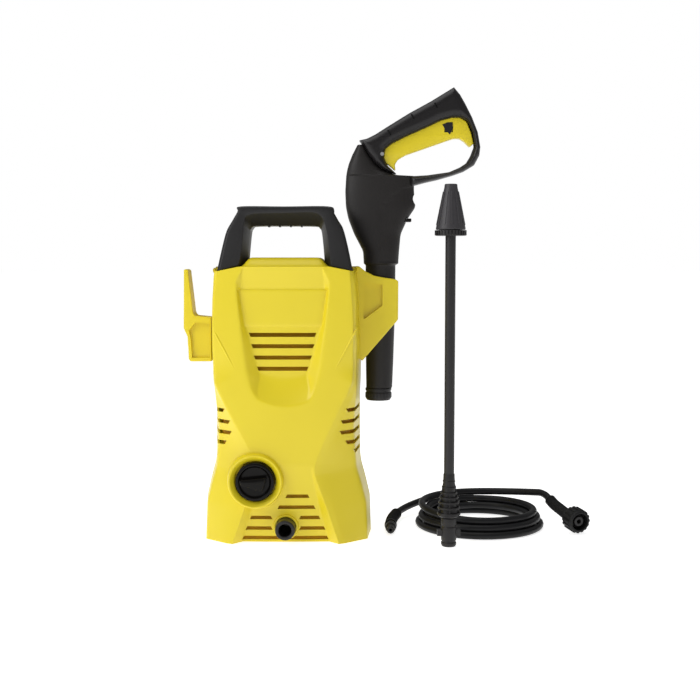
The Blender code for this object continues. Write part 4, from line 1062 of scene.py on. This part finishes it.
triggerOutline = [(148, 500), (137.9, 508.5), (124.5, 515), (123, 522), (127, 528), (134.9, 532),
                  (143.6, 538),
                  (165.2, 549), (192.5, 561), (209.7, 568.5), (224.1, 573), (234.1, 572.5), (244.4, 566),
                  (250.6, 551), (254.1, 536.5), (249, 532), (240.8, 539.9), (234.9, 543.6), (227.6, 543.6),
                  (220.3, 541.4), (191, 531.2), (161.7, 521.1), (151.4, 515.2), (147.1, 508)]


# centre of each notch in the grip's front, and the way it runs
gripNotches = [(139.1, 550.5), (170.6, 572.3), (202, 586.8)]
notchRun = (0.49, -0.87)
lockShield = [(211.3, 562), (218, 564.8), (225.4, 565.4), (225.6, 557), (221.5, 548.6), (215, 556)]


def edgeDistance(places, outline):
    """how far each (x, z) place lies from an outline"""
    start = np.array(outline, float)
    run = np.roll(start, -1, 0) - start
    out = np.full(len(places), np.inf)
    for a, d in zip(start, run):
        share = np.clip(((places - a) @ d) / (d @ d), 0, 1)
        out = np.minimum(out, np.linalg.norm(places - a - share[:, None] * d, axis=1))
    return out


def roundGrip(piece, middle, reach):
    """draws a flat-sided piece in towards its middle plane near its outline"""
    outline = gripOuter + gripInner
    verts = piece.data.vertices
    flat = np.array([v.co for v in verts])
    origin = here(0, middle, 0)
    places = np.stack([(flat[:, 0] - origin.x) / mm, flat[:, 2] / mm], -1)
    near = np.clip(edgeDistance(places, outline) / reach, 0, 1)
    factor = 0.35 + 0.65 * np.sqrt(1 - (1 - near) ** 2)
    flat[:, 1] = origin.y + (flat[:, 1] - origin.y) * factor
    for v, place in zip(verts, flat):
        v.co = place
    soft = piece.modifiers.new("soften", "SMOOTH")
    soft.iterations = 6
    bpy.context.view_layer.update()
    piece.data = bpy.data.meshes.new_from_object(piece.evaluated_get(bpy.context.evaluated_depsgraph_get()))
    piece.modifiers.clear()


def pinHole():
    return bore(2.8, 60, here(129.5, 20, 522), (0, -1, 0), 24)


def gripNotch(x, z):
    """a short groove pressed into the grip's front"""
    notch = blockShape((x - 4, -60, z - 1.2), (x + 4, -22.5, z + 1.2))
    turn = Matrix.Rotation(math.atan2(-notchRun[1], notchRun[0]), 4, "Y")
    place = Matrix.Translation(here(x, 0, z)) @ turn @ Matrix.Translation(-here(x, 0, z))
    bmesh.ops.transform(notch, matrix=place, verts=notch.verts)
    return notch


def gunGrip():
    shape = plateShape(gripOuter + gripInner, -26, 32)
    piece = placeMesh("gunHandle", shape, gripGloss, "gun", ("gun_grip",), 50,
                      softened(0.9, 4))
    roundGrip(piece, -10, 11)
    notches = [gripNotch(x, z) for x, z in gripNotches]
    cutWith(piece, joinShapes(plateShape(triggerRoom, -17.75, 15.5), *notches, pinHole()))
    trigger = plateShape(triggerOutline, -17, 14)
    piece = placeMesh("triggerLever", trigger, yellowCasing, "trigger", ("gun_trigger",),
                      30, bevelEdges(1.6, 4, 25))
    cutWith(piece, joinShapes(pinHole(),
                              blockShape((214.1, -30, 551.6), (225.9, -12, 560.4))))
    shield = plateShape(lockShield, -17.6, 0.55)
    button = joinShapes(shield, blockShape((214.6, -17.2, 552.1), (221.4, -12.3, 559.9)))
    placeMesh("lockButton", button, gripGloss, "lock", ("trigger_lock",), 30)
    clip = blockShape((154.2, -18.8, 430.7), (169.8, -1.2, 435.3))
    placeMesh("hoseClip", clip, barrelBlack, "clip", ("hose_clip",), 30,
              bevelEdges(0.9, 3))
    socket = [(11.3, 0), (16, 0), (18.1, 3.5), (18.1, 10.5), (17.2, 11), (17.2, 13), (18.1, 13.5),
              (18.1, 16.7),
              (15.2, 17), (15.2, 18.4), (11.3, 18.4), (11.3, 0)]
    shape = spinShape(rounded(socket, 0.5), here(125.5, -10, 185.5), sides=72)
    addRibs(shape, lanceBlack, here(125.5, -10, 185.5), (0, 0, 1), 24, 17.7, (1.2, 1.6, 6), 7)
    placeMesh("lanceSocket", shape, lanceBlack, "gun", ("bayonet_socket",), 30)


gunGrip()
print("grip and trigger made")

# ---- lance ----
# height, radius, half-thickness
bellRings = [(44.2, 15.6, 1.5), (51.9, 14.9, 1.3), (59.2, 14.0, 1.2), (65.6, 12.8, 1.1), (71.8, 11.2, 1.0),
             (79.4, 9.8, 0.9), (87.4, 8.7, 0.8)]


def lance():
    at = here(217, -93, 0)
    up = (0, 0, 1)
    bayonet = [(4, 0), (8.8, 0), (10.2, 2.6), (10.2, 5.5), (9.4, 6), (9.4, 8), (10.2, 8.5), (10.2, 26),
               (9.3, 26.6),
               (9.3, 29), (10.2, 29.6), (10.2, 37.8), (4, 37.8), (4, 0)]
    shape = joinShapes(spinShape(rounded(bayonet, 0.4), at), blockShape((201.6, -97, 14), (210, -89, 22)),
                       blockShape((224, -97, 14), (232.4, -89, 22)))
    placeMesh("lanceEnd", shape, lanceBlack, "lance", ("lance_bayonet",), 30)
    bell = [(4, 38.5), (10.3, 38.5), (13.8, 40.6), (14.6, 42), (11.4, 46), (9.6, 58), (8.4, 72), (7.9, 84),
            (7.5, 96.8), (7.1, 96.8), (7.1, 48), (4, 47.5), (4, 38.5)]
    shape = spinShape(rounded(bell, 0.8), at, sides=72)
    for z, radius, thick in bellRings:
        ring = [(6, z - thick), (radius, z - thick), (radius - 0.3, z + thick), (6, z + thick),
                (6, z - thick)]
        shape = joinShapes(shape, spinShape(rounded(ring, 0.5), at, sides=72))
    addRibs(shape, lanceBlack, at, up, 4, 7.6, (7.6, 1.6, 44), 64, -9.5)
    placeMesh("lanceBell", shape, lanceBlack, "lance", ("lance_bell",), 30)
    tube = [(3, 50), (6.8, 50), (6.8, 412), (3, 412), (3, 50)]
    placeMesh("lancePipe", spinShape(tube, at, sides=48), lanceBlack, "lance",
              ("lance_tube",), 30)
    ring = [(7.3, 410), (19.4, 410), (19.8, 411), (19.8, 417), (7.3, 417.4), (7.3, 410)]
    shape = spinShape(rounded(ring, 0.4), at, sides=96)
    addRibs(shape, lanceBlack, at, up, 30, 19.6, (2.2, 2.3, 6.6), 413.8)
    placeMesh("nozzleGrip", shape, lanceBlack, "lance", ("nozzle_ring",), 30)
    cone = [(12, 417.9), (19.3, 417.9), (19.3, 420), (8.5, 473), (8.3, 476), (7.6, 476.9), (5.2, 476.9),
            (4.7, 475),
            (4.7, 473), (6.4, 463), (12, 424), (12, 417.9)]
    shape = spinShape(rounded(cone, 0.6), at, sides=96)
    addRibs(shape, coneBlack, at, up, 12, 14.2, (1.2, 1.5, 44), 445.5, -11.4)
    placeMesh("nozzleCone", shape, coneBlack, "lance", ("nozzle_housing",), 30)


lance()
print("lance made")

# ---- hose ----
hoseSizes = {"radius": 5.0, "centre": (271, 27), "step": 5.0, "length": 3.0, "sleeve": 7.2}
plugRingLevels = (16.15, 22.15)
nutLead = [(396, -12, 20.3), (390.5, 5, 22), (385, 22, 25), (380, 38, 28), (375.5, 49, 33), (370, 62, 37.5),
           (360, 76.5, 38.5)]
plugLead = [(243, 132, 21.5), (228, 129.5, 21.2), (213, 124, 20), (196, 112.5, 18), (180, 96, 15.8),
            (165.5, 77, 13.4),
            (154, 55, 11), (147, 30, 9.2), (143.8, 6, 8.6), (142.8, -14, 8.6)]
# angle round the coil in degrees, radius, height; each change of lane has its own stretch
coilKeys = [(44, 95, 34.5), (62, 91, 32.5), (90, 89, 31.6), (200, 89, 31.4), (232, 84, 22.9),
            (530, 84, 22.9),
            (562, 79, 14.1), (860, 79, 14.1), (892, 84, 5.3), (1190, 84, 5.3), (1222, 94, 5.3),
            (1520, 94, 5.3),
            (1552, 89, 14.1), (1848, 89, 14.1), (1870, 95, 17), (1890, 103.5, 20)]


def lineThrough(points, steps=12):
    out = []
    pts = [np.array(p, float) for p in points]
    pts = [2 * pts[0] - pts[1]] + pts + [2 * pts[-1] - pts[-2]]
    for a, b, c, d in zip(pts, pts[1:], pts[2:], pts[3:]):
        for n in range(steps):
            t = n / steps
            out.append(0.5 * (2 * b + (c - a) * t + (2 * a - 5 * b + 4 * c - d) * t ** 2
                              + (3 * b - a - 3 * c + d) * t ** 3))
    return np.array(out + [pts[-2]])


def evenPath(points, step):
    along = np.concatenate([[0], np.cumsum(np.linalg.norm(np.diff(points, axis=0), axis=1))])
    at = np.linspace(0, along[-1], int(along[-1] / step) + 1)
    return np.stack([np.interp(at, along, points[:, k]) for k in range(3)], -1)


def hosePath():
    """from the nut, round the coil and out to the plug, with the turns pushed a diameter apart"""
    angle = np.arange(coilKeys[0][0], coilKeys[-1][0], 4.0)
    keys = np.array(coilKeys, float)
    radius, height = (np.interp(angle, keys[:, 0], keys[:, k]) for k in (1, 2))
    blur = np.ones(5) / 5
    radius[2:-2], height[2:-2] = np.convolve(radius, blur, "valid"), np.convolve(height, blur, "valid")
    x, y = hoseSizes["centre"]
    coil = np.stack([x + radius * np.cos(np.radians(angle)), y + radius * np.sin(np.radians(angle)),
                     height], -1)
    coil[:, :2] += 1.1 * np.stack([np.sin(angle * 0.021), np.cos(angle * 0.017)], -1)
    path = evenPath(lineThrough(nutLead + [tuple(p) for p in coil] + plugLead, 6), hoseSizes["step"])
    count = len(path)
    index = np.arange(count)
    apart = np.abs(index[:, None] - index[None]) > 14
    free = ((index > 18) & (index < count - 30))[:, None]
    wanted = 2 * hoseSizes["radius"] + 0.25
    for _ in range(160):
        offset = path[:, None] - path[None]
        distance = np.linalg.norm(offset, axis=2) + 1e-6
        short = np.where(apart & (distance < wanted), (wanted - distance) * 0.4, 0)
        push = np.sum(offset / distance[..., None] * short[..., None], axis=1)
        bend = np.zeros_like(path)
        bend[1:-1] = (path[:-2] + path[2:]) / 2 - path[1:-1]
        path = path + np.where(free, push + 0.35 * bend, 0)
        path[:, 2] = np.maximum(path[:, 2], hoseSizes["radius"] + 0.15)
    return evenPath(path, 4.0)


def buildBeadTree():
    """round beads spaced along the line that comes in"""
    tree, start, end = newTree("beadsOnLine", [("Line", "Geometry"), ("Count", "Int"),
                                               ("Ring Radius", "Float"),
                                               ("Bead Radius", "Float"), ("Rib Material", "Material")])
    links = tree.links.new
    curve = tree.nodes.new("GeometryNodeMeshToCurve")
    links(start.outputs["Line"], curve.inputs["Mesh"])
    points = tree.nodes.new("GeometryNodeCurveToPoints")
    points.mode = "COUNT"
    links(curve.outputs[0], points.inputs["Curve"])
    links(start.outputs["Count"], points.inputs["Count"])
    wide, thin = (tree.nodes.new("GeometryNodeCurvePrimitiveCircle") for _ in range(2))
    wide.inputs["Resolution"].default_value = 28
    thin.inputs["Resolution"].default_value = 8
    links(start.outputs["Ring Radius"], wide.inputs["Radius"])
    links(start.outputs["Bead Radius"], thin.inputs["Radius"])
    bead = tree.nodes.new("GeometryNodeCurveToMesh")
    links(wide.outputs[0], bead.inputs["Curve"])
    links(thin.outputs[0], bead.inputs["Profile Curve"])
    stand = tree.nodes.new("GeometryNodeInstanceOnPoints")
    links(points.outputs["Points"], stand.inputs["Points"])
    links(points.outputs["Rotation"], stand.inputs["Rotation"])
    links(bead.outputs[0], stand.inputs["Instance"])
    finishTree(tree, start, end, stand.outputs[0])
    return tree


beadTree = buildBeadTree()


def addBeads(shape, material, points, count, radius, bead):
    line = bpy.data.meshes.new("line")
    line.from_pydata([here(*p) for p in points], [(n, n + 1) for n in range(len(points) - 1)], [])
    joinMesh(shape, bakeTree(beadTree, {"Count": count, "Ring Radius": radius * mm,
                                        "Bead Radius": bead * mm,
                                        "Rib Material": material}, line), Matrix())


def hose():
    path = hosePath()
    curve = bpy.data.curves.new("hose", "CURVE")
    curve.dimensions = "3D"
    line = curve.splines.new("POLY")
    line.points.add(len(path) - 1)
    for point, place in zip(line.points, path):
        point.co = (*here(*place), 1)
    curve.bevel_depth = hoseSizes["radius"] * mm
    curve.bevel_resolution = 5
    curve.use_fill_caps = True
    curve.materials.append(hoseRubber)
    line.use_smooth = True
    tube = bpy.data.objects.new("hose", curve)
    bpy.context.scene.collection.objects.link(tube)
    dress(tube, "washer", ("hose_coil", "hose_lead_right", "hose_lead_left"))
    for name, stretch, node in (("nutSleeve", path[1:18], "right_bend_sleeve"),
                                ("plugSleeve", path[-2:-20:-1], "left_bend_sleeve")):
        radii = np.concatenate([[8.6, 8.6], np.linspace(hoseSizes["sleeve"] + 0.3, 6.4, len(stretch) - 3),
                                [5.7]])
        shape = pipeShape(stretch, radii, 5.15)
        addBeads(shape, softRubber, stretch[2:-1], 17, 6.9, 1.15)
        piece = placeMesh(name, shape, softRubber, "washer", (node,), 30)
    towards = Vector(path[0] - path[2]).normalized()
    start = here(*path[0]) + towards * 0.3 * mm
    nut = [(11.7, 0.4), (13.5, 0), (15.4, 1.2), (15.8, 3), (15.8, 20.5), (14.6, 23), (13.2, 23.8),
           (11.7, 23.8), (11.7, 0.4)]
    shape = spinShape(rounded(nut, 0.8), start, towards, 96)
    addRibs(shape, softRubber, start, towards, 16, 15.7, (2.6, 3.4, 17.5), 11.6)
    placeMesh("unionNut", shape, softRubber, "nut", ("union_nut",), 30, bevelEdges(0.7, 2, 50))
    nipple = [(2.2, 0), (10.8, 0), (10.8, 14), (9.6, 15), (9.6, 16.5), (7.6, 17), (7.2, 19.6), (6.6, 20.4),
              (3.2, 20.4), (2.6, 19), (2.2, 12), (2.2, 0)]
    turnedPiece("hoseNipple", nipple, start, towards, gripGloss, "washer",
                              ("hose_nipple",))
    towards = Vector(path[-1] - path[-3]).normalized()
    start = here(*path[-1]) + towards * 0.3 * mm
    plug = [(2.2, 0), (7.4, 0), (7.4, 4), (6.6, 4.5), (6.6, 6.5), (7.4, 7), (7.4, 11), (5.2, 11.6),
            (5.2, 15),
            (4.4, 15.3), (4.4, 17), (5.2, 17.3), (5.2, 21), (4.4, 21.3), (4.4, 23), (5.2, 23.3), (5.2, 26),
            (4.4, 26.9), (2.2, 26.9), (2.2, 0)]
    turnedPiece("hosePlug", plug, start, towards, gripGloss, "washer",
                              ("hose_plug",), 0.3)
    rings = []
    for level in plugRingLevels:
        ring = [(4.45, level - 0.7), (5.15, level - 0.8), (5.5, level), (5.15, level + 0.8),
                (4.45, level + 0.7),
                (4.45, level - 0.7)]
        rings.append(spinShape(rounded(ring, 0.3), start, towards, 48))
    placeMesh("plugRings", joinShapes(*rings), ringRubber, "washer")
    length = float(np.sum(np.linalg.norm(np.diff(path, axis=0), axis=1))) * mm
    print("hose is", round(length, 3), "m long")


hose()
print("hose made")

# ---- the parts inside keep their shape and get their own surfaces ----
keptSurfaces = {
    "groundSteel": ["casing_screw_1", "casing_screw_2", "casing_screw_3", "casing_screw_4", "piston_1",
                    "piston_2",
                    "piston_3", "motor_pinion", "lower_bearing", "upper_bearing", "trigger_pin"],
    "castAlloy": ["pump_head", "cylinder_block", "gear_case"],
    "laminatedIron": ["motor_stator", "armature"],
    "woundCopper": ["commutator"],
    "turnedBrass": ["valve_block", "nozzle_rotor"],
    "greyPlastic": ["switch_box", "motor_cap", "brush_1", "brush_2", "pressure_switch"],
    "whitePlastic": ["inlet_filter", "swash_gear", "cooling_fan", "capacitor"],
}
for materialName, nodeNames in keptSurfaces.items():
    for nodeName in nodeNames:
        node = frame["nodes"][nodeName]
        for slot in node.material_slots:
            slot.material = bpy.data.materials[materialName]
        if not node.material_slots:
            print("no slot on", nodeName)
print("kept parts dressed")

low = [float("inf")] * 3
high = [float("-inf")] * 3
for item in bpy.data.objects:
    if item.type not in ("MESH", "CURVE") or item.name == "floor" or item.hide_render:
        continue
    for corner in item.bound_box:
        place = item.matrix_world @ Vector(corner)
        low = [min(a, b) for a, b in zip(low, place)]
        high = [max(a, b) for a, b in zip(high, place)]
